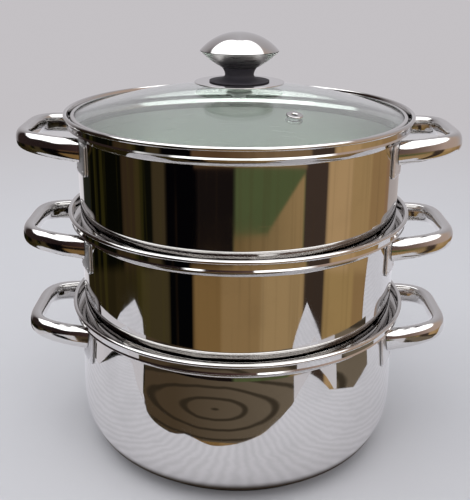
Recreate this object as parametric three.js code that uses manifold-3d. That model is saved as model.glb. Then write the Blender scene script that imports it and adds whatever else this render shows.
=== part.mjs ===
// Three-tier steamer pot: a bellied pot, two steamers with perforated floors and a domed glass lid.
// Millimetres, +Z up. The origin is the centre of the underside of the base, and the handles lie along X.

import * as THREE from 'three';
import { mergeVertices } from 'three/addons/utils/BufferGeometryUtils.js';
import Module from 'manifold-3d';

const wasm = await Module();
wasm.setup();

// Fineness of the round work
const vesselSides = 36;
const knobSides = 16;
const holeSides = 6;
const tubeSides = 8;
const tubeSteps = 10;
const flareSteps = 3;
const rollSteps = 7;
const bellySteps = 4;
const cornerSteps = 4;
const domeSteps = 4;

// Clearances
const seatGap = 0.3;
const cutOverrun = 2;

// Stack
const potHeight = 107.5;
const tierRise = 66.25;

// Sheet vessel and its flared rim, the same on all three tiers
const sheet = 1;
const wallRadius = 109.6;
const flareReach = 8.4;
const flareHeight = 12.9;
const collarHeight = 7.9;
const rollRadius = 1.4;
const flareBendRadiusShare = 0.4;
const flareBendHeightShare = 0.58;
const ridgeReach = 0.5;
const ridgeHeight = 1.2;

// Steamer below its wall
const spigotPlay = 1.3;
const spigotDepth = 10;
const spigotCorner = 3;
const holeRadius = 3.2;
const holePitch = 20;
const holeBorder = 6;
const holesAddedPerRing = 6;

// Pot below its neck, and its layered base
const bellySwell = 3.2;
const bellyHeight = 42;
const potFloorInset = 14.6;
const coreThickness = 3.6;
const coreInset = 3;
const capSheet = 0.6;

// Handles, and the brackets that hold them below the flare
const handleSpan = 81;
const handleReach = 39.4;
const handleTiltDegrees = 6.1;
const tubeWall = 1;
const tubeEndHeight = 15.7;
const tubeMidHeight = 12;
const tubeEndThickness = 10.2;
const tubeMidThickness = 9.4;
const tubeFlatShare = 0.2;
const bowFullShare = 0.115;
const bracketWidth = 22;
const bracketHeight = 22;
const bracketForward = 2;
const bracketDrop = 1;
const bracketLowering = 3.8;
const bracketThickness = 1.2;
const bracketCorner = 3;

// Lid: band, glass and vent
const bandReach = 3.6;
const bandSheet = 0.7;
const bandLap = 2.5;
const bandSkirt = 4;
const glassRise = 15.2;
const glassThickness = 4.4;
const knobHoleRadius = 4;
const ventX = 33;
const ventY = -66;
const ventHoleRadius = 3.6;
const eyeletRadius = 5.3;
const eyeletBoreRadius = 1.7;
const eyeletFlange = 1;

// Knob
const gasketRadius = 14;
const gasketThickness = 1.5;
const plateRadius = 30.3;
const plateSheet = 0.8;
const neckHeight = 9.4;
const neckFootRadius = 20.2;
const neckFootEdge = 0.6;
const neckWaistRadius = 9.7;
const neckTopRadius = 12;
const neckWaistShare = 0.45;
const neckFootBendShare = 0.22;
const knobRadius = 26.4;
const knobSheet = 0.8;
const cupDepth = 10.4;
const cupFloorRadius = 12.8;
const cupBendRadiusShare = 0.57;
const cupBendHeightShare = 0.43;
const capRise = 12.2;
const insertRadius = 4;
const insertFlangeRadius = 7;
const insertFlange = 1.2;
const screwRadius = 2;
const screwHeadRadius = 4.5;
const screwHeadHeight = 2;
const washerRadius = 9;
const washerThickness = 1;
const lowerGasketRadius = 8;

// Colours, roughness and metalness
function polishedSteel() {
  return new THREE.MeshStandardMaterial({ color: 0xc8c8cb, roughness: 0.12, metalness: 1 });
}

function tubeSteel() {
  return new THREE.MeshStandardMaterial({ color: 0xbfbfc2, roughness: 0.16, metalness: 1 });
}

function clearGlass() {
  return new THREE.MeshStandardMaterial({
    color: 0xc6cfca, roughness: 0.05, metalness: 0, transparent: true, opacity: 0.35,
  });
}

function blackMoulding() {
  return new THREE.MeshStandardMaterial({ color: 0x17161a, roughness: 0.35, metalness: 0 });
}

function rawAluminium() {
  return new THREE.MeshStandardMaterial({ color: 0xb4b5b8, roughness: 0.45, metalness: 1 });
}

function softRubber() {
  return new THREE.MeshStandardMaterial({ color: 0xd9d9d4, roughness: 0.7, metalness: 0 });
}

function turnedBrass() {
  return new THREE.MeshStandardMaterial({ color: 0xb08d4a, roughness: 0.3, metalness: 1 });
}

// Closed solids out of surface geometry, and back
function solidOf(geometry) {
  const bare = geometry.clone();
  bare.deleteAttribute('normal');
  bare.deleteAttribute('uv');
  const merged = mergeVertices(bare);
  const corners = merged.index.array;
  const triVerts = [];
  for (let i = 0; i < corners.length; i += 3) {
    const [a, b, c] = [corners[i], corners[i + 1], corners[i + 2]];
    if (a !== b && b !== c && c !== a) triVerts.push(a, b, c);
  }
  const mesh = new wasm.Mesh({
    numProp: 3,
    vertProperties: new Float32Array(merged.attributes.position.array),
    triVerts: new Uint32Array(triVerts),
  });
  return new wasm.Manifold(mesh);
}

function geometryOf(solid) {
  const mesh = solid.getMesh();
  const geometry = new THREE.BufferGeometry();
  geometry.setAttribute('position', new THREE.BufferAttribute(new Float32Array(mesh.vertProperties), 3));
  geometry.setIndex(new THREE.BufferAttribute(new Uint32Array(mesh.triVerts), 1));
  geometry.computeVertexNormals();
  return geometry;
}

function named(name, solid, material) {
  const mesh = new THREE.Mesh(geometryOf(solid), material);
  mesh.name = name;
  return mesh;
}

// Profile points are [radius, height], and a line runs up its outer side
function revolve(profile, sides) {
  const points = [...profile, profile[0]].map(([radius, height]) => new THREE.Vector2(radius, height));
  return solidOf(new THREE.LatheGeometry(points, sides).rotateX(Math.PI / 2));
}

function offsetLine(line, distance) {
  const normals = line.slice(1).map(([radius, height], i) => {
    const run = radius - line[i][0];
    const climb = height - line[i][1];
    const length = Math.hypot(run, climb);
    return [-climb / length, run / length];
  });
  return line.map(([radius, height], i) => {
    const before = normals[Math.max(i - 1, 0)];
    const after = normals[Math.min(i, normals.length - 1)];
    const mitre = distance / (1 + before[0] * after[0] + before[1] * after[1]);
    return [radius + mitre * (before[0] + after[0]), height + mitre * (before[1] + after[1])];
  });
}

function heightAtRadius(line, radius) {
  const end = line.findIndex((point, i) => i > 0 && point[0] >= radius && line[i - 1][0] < radius);
  const [below, above] = [line[end - 1], line[end]];
  return below[1] + (above[1] - below[1]) * (radius - below[0]) / (above[0] - below[0]);
}

function sheetRing(line, thickness) {
  return [...line, ...offsetLine(line, thickness).reverse()];
}

function steps(count) {
  return Array.from({ length: count + 1 }, (_, i) => i / count);
}

function arc(radius, height, radiusReach, heightReach, fromDegrees, toDegrees, count) {
  return steps(count).map((share) => {
    const angle = THREE.MathUtils.degToRad(fromDegrees + (toDegrees - fromDegrees) * share);
    return [radius + radiusReach * Math.cos(angle), height + heightReach * Math.sin(angle)];
  });
}

function bentLine(start, end, radiusShare, heightShare, count) {
  const bend = new THREE.Vector2(
    THREE.MathUtils.lerp(start.x, end.x, radiusShare),
    THREE.MathUtils.lerp(start.y, end.y, heightShare),
  );
  return new THREE.QuadraticBezierCurve(start, bend, end).getPoints(count).map((p) => [p.x, p.y]);
}

// Heights in a vessel's own group are measured from its rim, so the rim's top is at zero.
// The flare ends in a ridge, and an upright collar stands on the ridge and carries the rolled edge.
const rollCentre = [wallRadius + flareReach - rollRadius, -rollRadius];
const rollFromDegrees = -135;
const rollToDegrees = 180;

const roll = arc(...rollCentre, rollRadius, rollRadius, rollFromDegrees, rollToDegrees, rollSteps);
const collarRadius = roll[0][0];

function flareLine() {
  const foot = new THREE.Vector2(wallRadius, -flareHeight);
  const lip = new THREE.Vector2(collarRadius, -collarHeight);
  return bentLine(foot, lip, flareBendRadiusShare, flareBendHeightShare, flareSteps);
}

const flare = flareLine();
const wallAndFlare = [[wallRadius, -flareHeight - bandSkirt], ...flare];
const seatLine = offsetLine(wallAndFlare, sheet + seatGap);
const seatHeight = heightAtRadius(seatLine, wallRadius);

// A vessel is one sheet line from the centre of its floor up the wall, the flare and the collar to the roll
function vessel(lineBelowFlare) {
  const smooth = [...lineBelowFlare, ...flare, roll[0]];
  const ridge = [
    [collarRadius + ridgeReach, -collarHeight],
    [collarRadius + ridgeReach, -collarHeight + ridgeHeight / 2],
    [collarRadius, -collarHeight + ridgeHeight],
  ];
  const outer = [...lineBelowFlare, ...flare.slice(0, -1), ...ridge];
  const inner = offsetLine(smooth, sheet).reverse();
  inner[inner.length - 1] = [0, inner[inner.length - 1][1]];
  return revolve([...outer, ...roll, ...inner], vesselSides);
}

// Steamer body
const shoulderHeight = seatHeight - tierRise;
const shoulderReach = sheet + spigotPlay;
const steamerFloorHeight = shoulderHeight - spigotDepth;
const steamerFloorRadius = wallRadius - shoulderReach - spigotCorner;

function steamerLine() {
  const cornerHeight = steamerFloorHeight + spigotCorner;
  return [
    [0, steamerFloorHeight],
    ...arc(steamerFloorRadius, cornerHeight, spigotCorner, spigotCorner, -90, 0, 2),
    [steamerFloorRadius + spigotCorner, shoulderHeight - shoulderReach],
    [wallRadius, shoulderHeight],
  ];
}

function upright(radius, height, sides, x, y, z) {
  return new THREE.CylinderGeometry(radius, radius, height, sides).rotateX(Math.PI / 2).translate(x, y, z);
}

function steamHoles() {
  const rings = Math.floor((steamerFloorRadius - holeBorder - holeRadius) / holePitch);
  let holes = solidOf(upright(holeRadius, sheet + cutOverrun, holeSides, 0, 0, 0));
  for (let ring = 1; ring <= rings; ring += 1) {
    const count = holesAddedPerRing * ring;
    for (let i = 0; i < count; i += 1) {
      const angle = (2 * Math.PI * i) / count;
      const x = ring * holePitch * Math.cos(angle);
      const y = ring * holePitch * Math.sin(angle);
      holes = holes.add(solidOf(upright(holeRadius, sheet + cutOverrun, holeSides, x, y, 0)));
    }
  }
  return holes.translate([0, 0, steamerFloorHeight + sheet / 2]);
}

function steamerBody() {
  return vessel(steamerLine()).subtract(steamHoles());
}

// Pot body and its layered base
const baseThickness = capSheet + coreThickness + 2 * seatGap;
const potFloorHeight = baseThickness - potHeight;
const bellyLevel = bellyHeight - potHeight;
const potFloorRadius = wallRadius - potFloorInset;
const coreRadius = potFloorRadius - coreInset;

function potLine() {
  const cornerReach = bellySwell + potFloorInset;
  const cornerRise = bellyLevel - potFloorHeight;
  const corner = arc(potFloorRadius, bellyLevel, cornerReach, cornerRise, -90, 0, cornerSteps);
  const neckLevel = -flareHeight;
  const belly = steps(bellySteps).slice(1, -1).map((share) => [
    wallRadius + bellySwell * (1 - share ** 2),
    bellyLevel + (neckLevel - bellyLevel) * share,
  ]);
  return [[0, potFloorHeight], ...corner, ...belly];
}

function baseCore() {
  const bottom = capSheet + seatGap - potHeight;
  return revolve([[0, bottom], [coreRadius, bottom], [coreRadius, bottom + coreThickness],
    [0, bottom + coreThickness]], vesselSides);
}

function baseCap() {
  const bottom = -potHeight;
  const innerRadius = coreRadius + seatGap;
  const outerRadius = innerRadius + capSheet;
  const top = bottom + baseThickness - seatGap;
  return revolve([[0, bottom], [outerRadius - capSheet, bottom], [outerRadius, bottom + capSheet],
    [outerRadius, top], [innerRadius, top], [innerRadius, bottom + capSheet], [0, bottom + capSheet]],
  vesselSides);
}

// Handles: a D-shaped loop of oval tube on two brackets, carried by the outer side of a vessel
const bracketLevel = -flareHeight - bracketDrop - bracketHeight / 2;
const handleLevel = bracketLevel + bracketLowering;

function outsideOf(lineBelowFlare, distance) {
  const line = offsetLine([...lineBelowFlare, [wallRadius, -flareHeight]], -distance);
  const top = line[line.length - 1];
  return revolve([[0, line[0][1]], ...line.slice(1), [0, top[1]]], vesselSides);
}

function roundedRectangle(width, height, corner) {
  const shape = new THREE.Shape();
  const x = width / 2 - corner;
  const y = height / 2 - corner;
  shape.absarc(x, y, corner, 0, Math.PI / 2);
  shape.absarc(-x, y, corner, Math.PI / 2, Math.PI);
  shape.absarc(-x, -y, corner, Math.PI, 1.5 * Math.PI);
  shape.absarc(x, -y, corner, 1.5 * Math.PI, 2 * Math.PI);
  return shape;
}

function bracket(lineBelowFlare, side, end) {
  const blank = new THREE.ExtrudeGeometry(
    roundedRectangle(bracketWidth, bracketHeight, bracketCorner),
    { depth: handleReach, bevelEnabled: false, curveSegments: 2 },
  );
  const angle = Math.asin((handleSpan / 2 + bracketForward) / wallRadius);
  const outward = new THREE.Vector3(side * Math.cos(angle), end * Math.sin(angle), 0);
  const up = new THREE.Vector3(0, 0, 1);
  const along = new THREE.Vector3().crossVectors(up, outward);
  blank.applyMatrix4(new THREE.Matrix4().makeBasis(along, up, outward));
  const start = outward.clone().multiplyScalar(wallRadius - handleReach / 2);
  blank.translate(start.x, start.y, bracketLevel);
  const inside = outsideOf(lineBelowFlare, seatGap);
  const outside = outsideOf(lineBelowFlare, seatGap + bracketThickness);
  return solidOf(blank).intersect(outside).subtract(inside);
}

function skin(loops) {
  const sides = loops[0].length;
  const corners = [];
  const faces = [];
  loops.forEach((loop, row) => loop.forEach((point, column) => {
    const next = ((row + 1) % loops.length) * sides;
    const here = row * sides;
    const across = (column + 1) % sides;
    corners.push(point.x, point.y, point.z);
    faces.push(here + column, here + across, next + across, here + column, next + across, next + column);
  }));
  const geometry = new THREE.BufferGeometry();
  geometry.setAttribute('position', new THREE.BufferAttribute(new Float32Array(corners), 3));
  geometry.setIndex(faces);
  return geometry;
}

// Pushes an oval section out towards a rectangle
function squared(part) {
  return Math.sign(part) * Math.abs(part) ** (1 - tubeFlatShare);
}

// How far out a loop has bowed at a swing of 0 to pi, and how fast it still grows there
function bowed(swing) {
  return (Math.sin(swing) + bowFullShare * Math.sin(3 * swing)) / (1 - bowFullShare);
}

function bowing(swing) {
  return (Math.cos(swing) + 3 * bowFullShare * Math.cos(3 * swing)) / (1 - bowFullShare);
}

function handleTube(lineBelowFlare, side) {
  const tilt = THREE.MathUtils.degToRad(handleTiltDegrees);
  const root = Math.sqrt(wallRadius ** 2 - (handleSpan / 2) ** 2) - cutOverrun;
  const reach = wallRadius + handleReach - tubeMidThickness / 2 - root;
  const face = new THREE.Vector3(-side * Math.sin(tilt), 0, Math.cos(tilt));
  const loop = (share, inset) => {
    const swing = Math.PI * share;
    const swell = Math.sin(swing);
    const bow = new THREE.Vector3(
      side * (root + reach * bowed(swing)),
      -handleSpan / 2 * Math.cos(swing),
      handleLevel + reach * bowed(swing) * Math.tan(tilt),
    );
    const heading = new THREE.Vector3(
      side * reach * bowing(swing),
      handleSpan / 2 * Math.sin(swing),
      reach * bowing(swing) * Math.tan(tilt),
    ).normalize();
    const sideways = new THREE.Vector3().crossVectors(face, heading).normalize();
    const halfHeight = THREE.MathUtils.lerp(tubeEndHeight, tubeMidHeight, swell) / 2 - inset;
    const halfThickness = THREE.MathUtils.lerp(tubeEndThickness, tubeMidThickness, swell) / 2 - inset;
    return steps(tubeSides).slice(1).map((turn) => {
      const angle = 2 * Math.PI * turn;
      return bow.clone()
        .addScaledVector(face, halfHeight * squared(Math.sin(angle)))
        .addScaledVector(sideways, halfThickness * squared(Math.cos(angle)));
    });
  };
  const outside = steps(tubeSteps).map((share) => loop(share, 0));
  const inside = steps(tubeSteps).map((share) => loop(share, tubeWall));
  const tube = solidOf(skin([...outside, ...inside.reverse()]));
  return tube.subtract(outsideOf(lineBelowFlare, 2 * seatGap + bracketThickness));
}

function handles(tier, lineBelowFlare) {
  const group = new THREE.Group();
  for (const [sideName, side] of [['left', -1], ['right', 1]]) {
    group.add(named(`${tier}_${sideName}_handle`, handleTube(lineBelowFlare, side), tubeSteel()));
    for (const [endName, end] of [['front', -1], ['rear', 1]]) {
      const name = `${tier}_${sideName}_${endName}_bracket`;
      group.add(named(name, bracket(lineBelowFlare, side, end), tubeSteel()));
    }
  }
  return group;
}

// Lid band: a lap over the glass, a cone that sits on the flare, and a skirt inside the wall
const bandRadius = wallRadius + bandReach;
const bandSeat = heightAtRadius(seatLine, bandRadius);
const glassRadius = bandRadius - bandSheet - seatGap;
const glassSeatLine = offsetLine(wallAndFlare, sheet + 2 * seatGap + bandSheet);
const glassEdgeHeight = heightAtRadius(glassSeatLine, glassRadius) + glassThickness;

function domeHeight(radius) {
  return glassRise - (glassRise - glassEdgeHeight) * (radius / glassRadius) ** 2;
}

function lidBand() {
  const lapRadius = bandRadius - bandLap;
  const lapHeight = domeHeight(lapRadius) + seatGap + bandSheet;
  const line = [
    ...seatLine.filter(([radius]) => radius < bandRadius),
    [bandRadius, bandSeat],
    [bandRadius, lapHeight],
    [lapRadius, lapHeight],
  ];
  return revolve(sheetRing(line, bandSheet), vesselSides);
}

// Vent eyelet, square to the glass
function ventAxis() {
  const radius = Math.hypot(ventX, ventY);
  const slope = 2 * (glassRise - glassEdgeHeight) * radius / glassRadius ** 2;
  return new THREE.Vector3(slope * ventX / radius, slope * ventY / radius, 1).normalize();
}

function ventPlace() {
  const turn = new THREE.Quaternion().setFromUnitVectors(new THREE.Vector3(0, 0, 1), ventAxis());
  const place = new THREE.Vector3(ventX, ventY, domeHeight(Math.hypot(ventX, ventY)));
  return { turn, place };
}

function lidGlass() {
  const shares = steps(domeSteps);
  const radii = shares.map((share) => knobHoleRadius + (glassRadius - knobHoleRadius) * share);
  const top = radii.map((radius) => [radius, domeHeight(radius)]);
  const under = radii.map((radius) => [radius, domeHeight(radius) - glassThickness]);
  const glass = revolve([...under, ...top.reverse()], vesselSides);
  const { turn, place } = ventPlace();
  const hole = upright(ventHoleRadius, 2 * glassThickness + cutOverrun, 2 * holeSides, 0, 0, 0);
  hole.applyQuaternion(turn);
  hole.translate(place.x, place.y, place.z);
  return glass.subtract(solidOf(hole));
}

function ventEyelet() {
  const stemRadius = ventHoleRadius - seatGap;
  const top = seatGap + eyeletFlange;
  const bottom = -glassThickness - top;
  return revolve([
    [eyeletBoreRadius, bottom], [eyeletRadius, bottom], [eyeletRadius, bottom + eyeletFlange],
    [stemRadius, bottom + eyeletFlange], [stemRadius, seatGap], [eyeletRadius, seatGap],
    [eyeletRadius - eyeletFlange / 2, top], [eyeletBoreRadius, top],
  ], knobSides);
}

// Knob stack, from the glass up
const gasketHeight = glassRise + seatGap;
const plateHeight = gasketHeight + gasketThickness + seatGap;
const neckFootHeight = plateHeight + plateSheet + seatGap;
const cupFloorHeight = neckFootHeight + neckHeight + seatGap;
const equatorHeight = cupFloorHeight + cupDepth;
const boreRadius = screwRadius + seatGap;

function ringOf(innerRadius, outerRadius, bottom, height, sides) {
  return revolve([[innerRadius, bottom], [outerRadius, bottom], [outerRadius, bottom + height],
    [innerRadius, bottom + height]], sides);
}

function knobPlate() {
  return ringOf(boreRadius, plateRadius, plateHeight, plateSheet, 2 * knobSides);
}

function knobNeck() {
  const bore = insertRadius + seatGap;
  const top = neckFootHeight + neckHeight;
  const edge = neckFootHeight + neckFootEdge;
  const waist = neckFootHeight + neckWaistShare * neckHeight;
  const bend = [
    THREE.MathUtils.lerp(neckWaistRadius, neckFootRadius, neckFootBendShare),
    THREE.MathUtils.lerp(edge, waist, neckFootBendShare),
  ];
  return revolve([[bore, neckFootHeight], [neckFootRadius, neckFootHeight], [neckFootRadius, edge], bend,
    [neckWaistRadius, waist], [neckTopRadius, top], [bore, top]], knobSides);
}

function knobCup() {
  const foot = new THREE.Vector2(cupFloorRadius, cupFloorHeight);
  const lip = new THREE.Vector2(knobRadius, equatorHeight);
  const wall = bentLine(foot, lip, cupBendRadiusShare, cupBendHeightShare, domeSteps);
  const line = [[insertRadius + seatGap, cupFloorHeight], ...wall];
  const inner = offsetLine(line, knobSheet).reverse();
  inner[0] = [knobRadius - knobSheet, equatorHeight];
  inner[inner.length - 1] = [insertRadius + seatGap, cupFloorHeight + knobSheet];
  return revolve([...line, ...inner], knobSides);
}

function knobCap() {
  const base = equatorHeight + seatGap;
  const ball = (knobRadius ** 2 + capRise ** 2) / (2 * capRise);
  const rimDegrees = THREE.MathUtils.radToDeg(Math.asin((ball - capRise) / ball));
  const centre = base + capRise - ball;
  const outer = arc(0, centre, ball, ball, rimDegrees, 90, domeSteps);
  outer[outer.length - 1] = [0, base + capRise];
  const inside = ball - knobSheet;
  const innerDegrees = THREE.MathUtils.radToDeg(Math.asin((ball - capRise) / inside));
  const inner = arc(0, centre, inside, inside, 90, innerDegrees, domeSteps);
  inner[0] = [0, base + capRise - knobSheet];
  return revolve([...outer, ...inner], knobSides);
}

function knobInsert() {
  const flangeFoot = cupFloorHeight + knobSheet + seatGap;
  const top = flangeFoot + insertFlange;
  return revolve([[boreRadius, neckFootHeight], [insertRadius, neckFootHeight], [insertRadius, flangeFoot],
    [insertFlangeRadius, flangeFoot], [insertFlangeRadius, top], [boreRadius, top]], knobSides);
}

const lowerGasketHeight = domeHeight(lowerGasketRadius) - glassThickness - seatGap - gasketThickness;
const washerHeight = lowerGasketHeight - seatGap - washerThickness;
const screwHeadTop = washerHeight - seatGap;

function knobScrew() {
  const head = screwHeadTop - screwHeadHeight;
  const tip = cupFloorHeight + knobSheet;
  return revolve([[0, head], [screwHeadRadius - seatGap, head], [screwHeadRadius, head + seatGap],
    [screwHeadRadius, screwHeadTop], [screwRadius, screwHeadTop], [screwRadius, tip], [0, tip]], knobSides);
}

function knob() {
  const group = new THREE.Group();
  const lower = ringOf(boreRadius, lowerGasketRadius, lowerGasketHeight, gasketThickness, knobSides);
  const upper = ringOf(boreRadius, gasketRadius, gasketHeight, gasketThickness, knobSides);
  group.add(named('knob_screw', knobScrew(), polishedSteel()));
  const washer = ringOf(boreRadius, washerRadius, washerHeight, washerThickness, knobSides);
  group.add(named('knob_washer', washer, polishedSteel()));
  group.add(named('knob_lower_gasket', lower, softRubber()));
  group.add(named('knob_gasket', upper, softRubber()));
  group.add(named('knob_plate', knobPlate(), polishedSteel()));
  group.add(named('knob_neck', knobNeck(), blackMoulding()));
  group.add(named('knob_insert', knobInsert(), turnedBrass()));
  group.add(named('knob_cup', knobCup(), polishedSteel()));
  group.add(named('knob_cap', knobCap(), polishedSteel()));
  return group;
}

function pot() {
  const group = new THREE.Group();
  group.add(named('pot_body', vessel(potLine()), polishedSteel()));
  group.add(named('pot_base_core', baseCore(), rawAluminium()));
  group.add(named('pot_base_cap', baseCap(), polishedSteel()));
  group.add(handles('pot', potLine()));
  group.position.z = potHeight;
  return group;
}

function steamer(tier, rimHeight) {
  const group = new THREE.Group();
  group.add(named(`${tier}_body`, steamerBody(), polishedSteel()));
  group.add(handles(tier, steamerLine()));
  group.position.z = rimHeight;
  return group;
}

function lid(rimHeight) {
  const group = new THREE.Group();
  group.add(named('lid_band', lidBand(), polishedSteel()));
  group.add(named('lid_glass', lidGlass(), clearGlass()));
  const eyelet = named('vent_eyelet', ventEyelet(), polishedSteel());
  const { turn, place } = ventPlace();
  eyelet.quaternion.copy(turn);
  eyelet.position.copy(place);
  group.add(eyelet);
  group.add(knob());
  group.position.z = rimHeight;
  return group;
}

const group = new THREE.Group();
group.add(pot());
group.add(steamer('middle_steamer', potHeight + tierRise));
group.add(steamer('top_steamer', potHeight + 2 * tierRise));
group.add(lid(potHeight + 2 * tierRise));

export default group;
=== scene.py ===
"""Visual model of a three-tier steamer pot: fine meshes, finishes, soft studio light and a camera.

Metres, Z up. The origin is the centre of the underside of the base, and the handles lie along X.
"""
import math

import bpy
from bpy.props import FloatProperty, FloatVectorProperty, IntProperty, PointerProperty
from bpy.types import Operator, Panel, PropertyGroup
from mathutils import Matrix, Quaternion, Vector


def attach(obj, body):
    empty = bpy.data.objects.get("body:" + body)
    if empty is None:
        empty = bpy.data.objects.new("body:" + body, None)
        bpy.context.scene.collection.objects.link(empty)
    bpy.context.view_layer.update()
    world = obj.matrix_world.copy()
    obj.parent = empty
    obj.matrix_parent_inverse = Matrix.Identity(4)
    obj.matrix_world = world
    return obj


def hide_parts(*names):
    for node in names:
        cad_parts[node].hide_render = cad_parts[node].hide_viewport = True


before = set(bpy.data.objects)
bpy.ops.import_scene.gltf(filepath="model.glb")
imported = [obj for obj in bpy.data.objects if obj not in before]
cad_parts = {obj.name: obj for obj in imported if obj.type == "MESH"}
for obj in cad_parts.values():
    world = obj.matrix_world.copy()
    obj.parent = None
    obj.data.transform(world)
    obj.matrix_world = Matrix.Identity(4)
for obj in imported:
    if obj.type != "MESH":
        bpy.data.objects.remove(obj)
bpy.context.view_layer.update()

bl_info = {
    "name": "Three-tier steamer pot",
    "version": (1, 0, 0),
    "blender": (4, 5, 0),
    "location": "3D View > Sidebar > Steamer",
    "description": "Builds a three-tier steamer pot around its packed CAD frame",
    "category": "Object",
}

MM = 0.001
TIERS = ("pot", "middle_steamer", "top_steamer")
SIDES = (("left", -1), ("right", 1))
ENDS = (("front", -1), ("rear", 1))

# Fineness of the meshes
TURNED_SIDES = 224
KNOB_SIDES = 144
SMALL_SIDES = 96
FIXING_SIDES = 64
DRILL_SIDES = 48
TUBE_SIDES = 40
TUBE_STEPS = 88
HOLE_SIDES = 24
CREASE = math.radians(38)
# Radii under this lie on the axis
ON_AXIS = 1e-7
# Points closer than this are one
SAME_POINT = 0.005 * MM

# Roundings
CORNER_TURN = math.radians(12)
CORNER_SHARE, GUARD_SHARE = 0.42, 0.35
RIDGE_START_SHARE = 0.2
CORE_EDGE, TRAY_EDGE, BAND_EDGE, EYELET_EDGE = 0.4 * MM, 0.7 * MM, 1.1 * MM, 0.45 * MM

# Where the floor starts to fade into the backdrop and where it ends, in metres from the object
FADE_START, FADE_END = 0.35, 1.3
# Heights of the floor and of the mirrored ground just over it
FLOOR_LEVEL, NEAR_LEVEL = -0.2 * MM, -0.1 * MM
# Overhead light: its sides, its place and the point it is turned to, in metres
LAMP_SIDES, LAMP_PLACE, LAMP_AIM = (1.6, 1.2), (-0.25, -0.35, 1.7), (0.0, 0.0, 0.15)
# Even light from all round that matt surfaces get
EVEN_LIGHT, EVEN_STRENGTH = (0.93, 0.96, 1.0, 1.0), 0.85
# Brightness of the mirrored room, and of its lit part
ROOM_GAIN, WHITE_GLOW = 1.6, 1.7
DISPLAY_GAMMA = 2.2
BLACK = (0.0, 0.0, 0.0, 1.0)
# The mirrored room's tones, here and in room_colour and the screens, are 8-bit screen values read from
# the photograph, some of them changed a little
PALE = (184, 181, 185)
# Low screens that the steel mirrors: name, first and last azimuth, and whether it is brown
SCREENS = (("front_screen", -52, 30, True), ("side_screen", 56, 85, True),
           ("left_screen", -100, -53, False), ("middle_screen", 30, 57, False))
SCREEN_REACH, SCREEN_TOP = 0.195, 0.067
# A screen covers this part of its azimuth, because it stands nearer than the ground's edge
SCREEN_TURN_SHARE = 0.93
# Where a ray from a screen's foot to the ground's edge leaves the pot: its height, how fast that rises
# with the edge's reach past the least one, and the pot's radius there
LEAVE_HEIGHT, LEAVE_SLOPE, LEAST_REACH, LEAVE_RADIUS = 0.055, 0.2, 0.2, 0.11
# Bands on the brown screens: their middle along X and Z, and how many there are in a metre
BANDS_MIDDLE, BANDS_PER_METRE = (-0.035, 0.0375), (20.0, 88.0)
# Dark ring of painted shadow on the mirrored ground under the pot's foot
FOOT_SHADE_START, FOOT_SHADE_END = 0.100, 0.112
# How far the mirrored pale ground reaches in metres, by azimuth in degrees from the front.
# Most of these points were traced from the photograph.
NEAR_REACH = ((-180, 0.6), (-150, 0.6), (-138, 0.3), (-125, 0.25), (-95, 0.25), (-88, 0.29), (-80, 0.35),
              (-68, 0.40), (-61, 0.36), (-57, 0.29), (-50, 0.226), (-35, 0.198), (-26, 0.202), (-10, 0.188),
              (12, 0.211), (23, 0.25), (29, 0.285), (35, 0.35), (43, 0.42), (50, 0.35), (55, 0.29),
              (57, 0.285), (71, 0.254), (85, 0.29), (87, 0.33), (100, 0.6), (180, 0.6))
# The ground's edge is rounded where it comes nearer than this, in metres
ROUNDED_UNDER = 0.26


def length(name, description, millimetres, lowest=0.0):
    """A size that a user can change, kept in metres."""
    return FloatProperty(name=name, description=description, default=millimetres * MM,
                         min=lowest * MM, precision=5, subtype="DISTANCE", unit="LENGTH")


def share(name, description, default):
    """A part of another size, from 0 to 1."""
    return FloatProperty(name=name, description=description, default=default, min=0, max=1,
                         subtype="FACTOR")


def colour(name, description, default):
    """A linear colour."""
    return FloatVectorProperty(name=name, description=description, default=default, size=3,
                               min=0, max=1, subtype="COLOR")


class VesselSizes(PropertyGroup):
    """Pot and steamers."""
    pot_height: length("Pot height", "Floor to the pot's rim", 107.5)
    tier_rise: length("Tier rise", "Rim to rim height of two tiers", 66.25)
    sheet: length("Sheet", "Thickness of the steel sheet", 1)
    wall_radius: length("Wall radius", "Outer radius of the upright walls", 109.6)
    flare_reach: length("Flare reach", "How far the rim stands out from the wall", 8.4)
    flare_height: length("Flare height", "Height of the flare's foot under the rim", 12.9)
    collar_height: length("Collar height", "Height of the upright collar under the rim", 7.9)
    flare_bend_radius_share: share("Flare bend, outward", "Place of the flare's bend across its reach", 0.4)
    flare_bend_height_share: share("Flare bend, up", "Place of the flare's bend up its height", 0.58)
    roll_radius: length("Roll radius", "Radius of the rolled edge", 1.4)
    ridge_reach: length("Ridge reach", "How far the ridge under the collar stands out", 0.5)
    ridge_height: length("Ridge height", "Height of the ridge under the collar", 1.2)
    belly_swell: length("Belly swell", "How far the pot's belly stands out past its neck", 3.2)
    belly_height: length("Belly height", "Height of the widest part of the belly", 42)
    pot_floor_inset: length("Pot floor inset", "Wall radius less the flat floor's radius", 14.6)
    core_thickness: length("Core thickness", "Aluminium in the base", 3.6)
    core_inset: length("Core inset", "Floor radius less the core's radius", 3)
    cap_sheet: length("Base cap sheet", "Steel under the core", 0.6)
    seat_gap: length("Seat gap", "Clearance between seated pieces", 0.3)
    spigot_play: length("Spigot play", "Clearance of a steamer's spigot inside a wall", 1.3)
    spigot_depth: length("Spigot depth", "Height of the spigot under the shoulder", 10)
    spigot_corner: length("Spigot corner", "Radius at the edge of a steamer's floor", 3)
    hole_radius: length("Hole radius", "Radius of a steam hole", 3.2)
    hole_pitch: length("Hole pitch", "Distance between rings of holes", 20)
    hole_border: length("Hole border", "Least sheet between the holes and the corner", 6)


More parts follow.
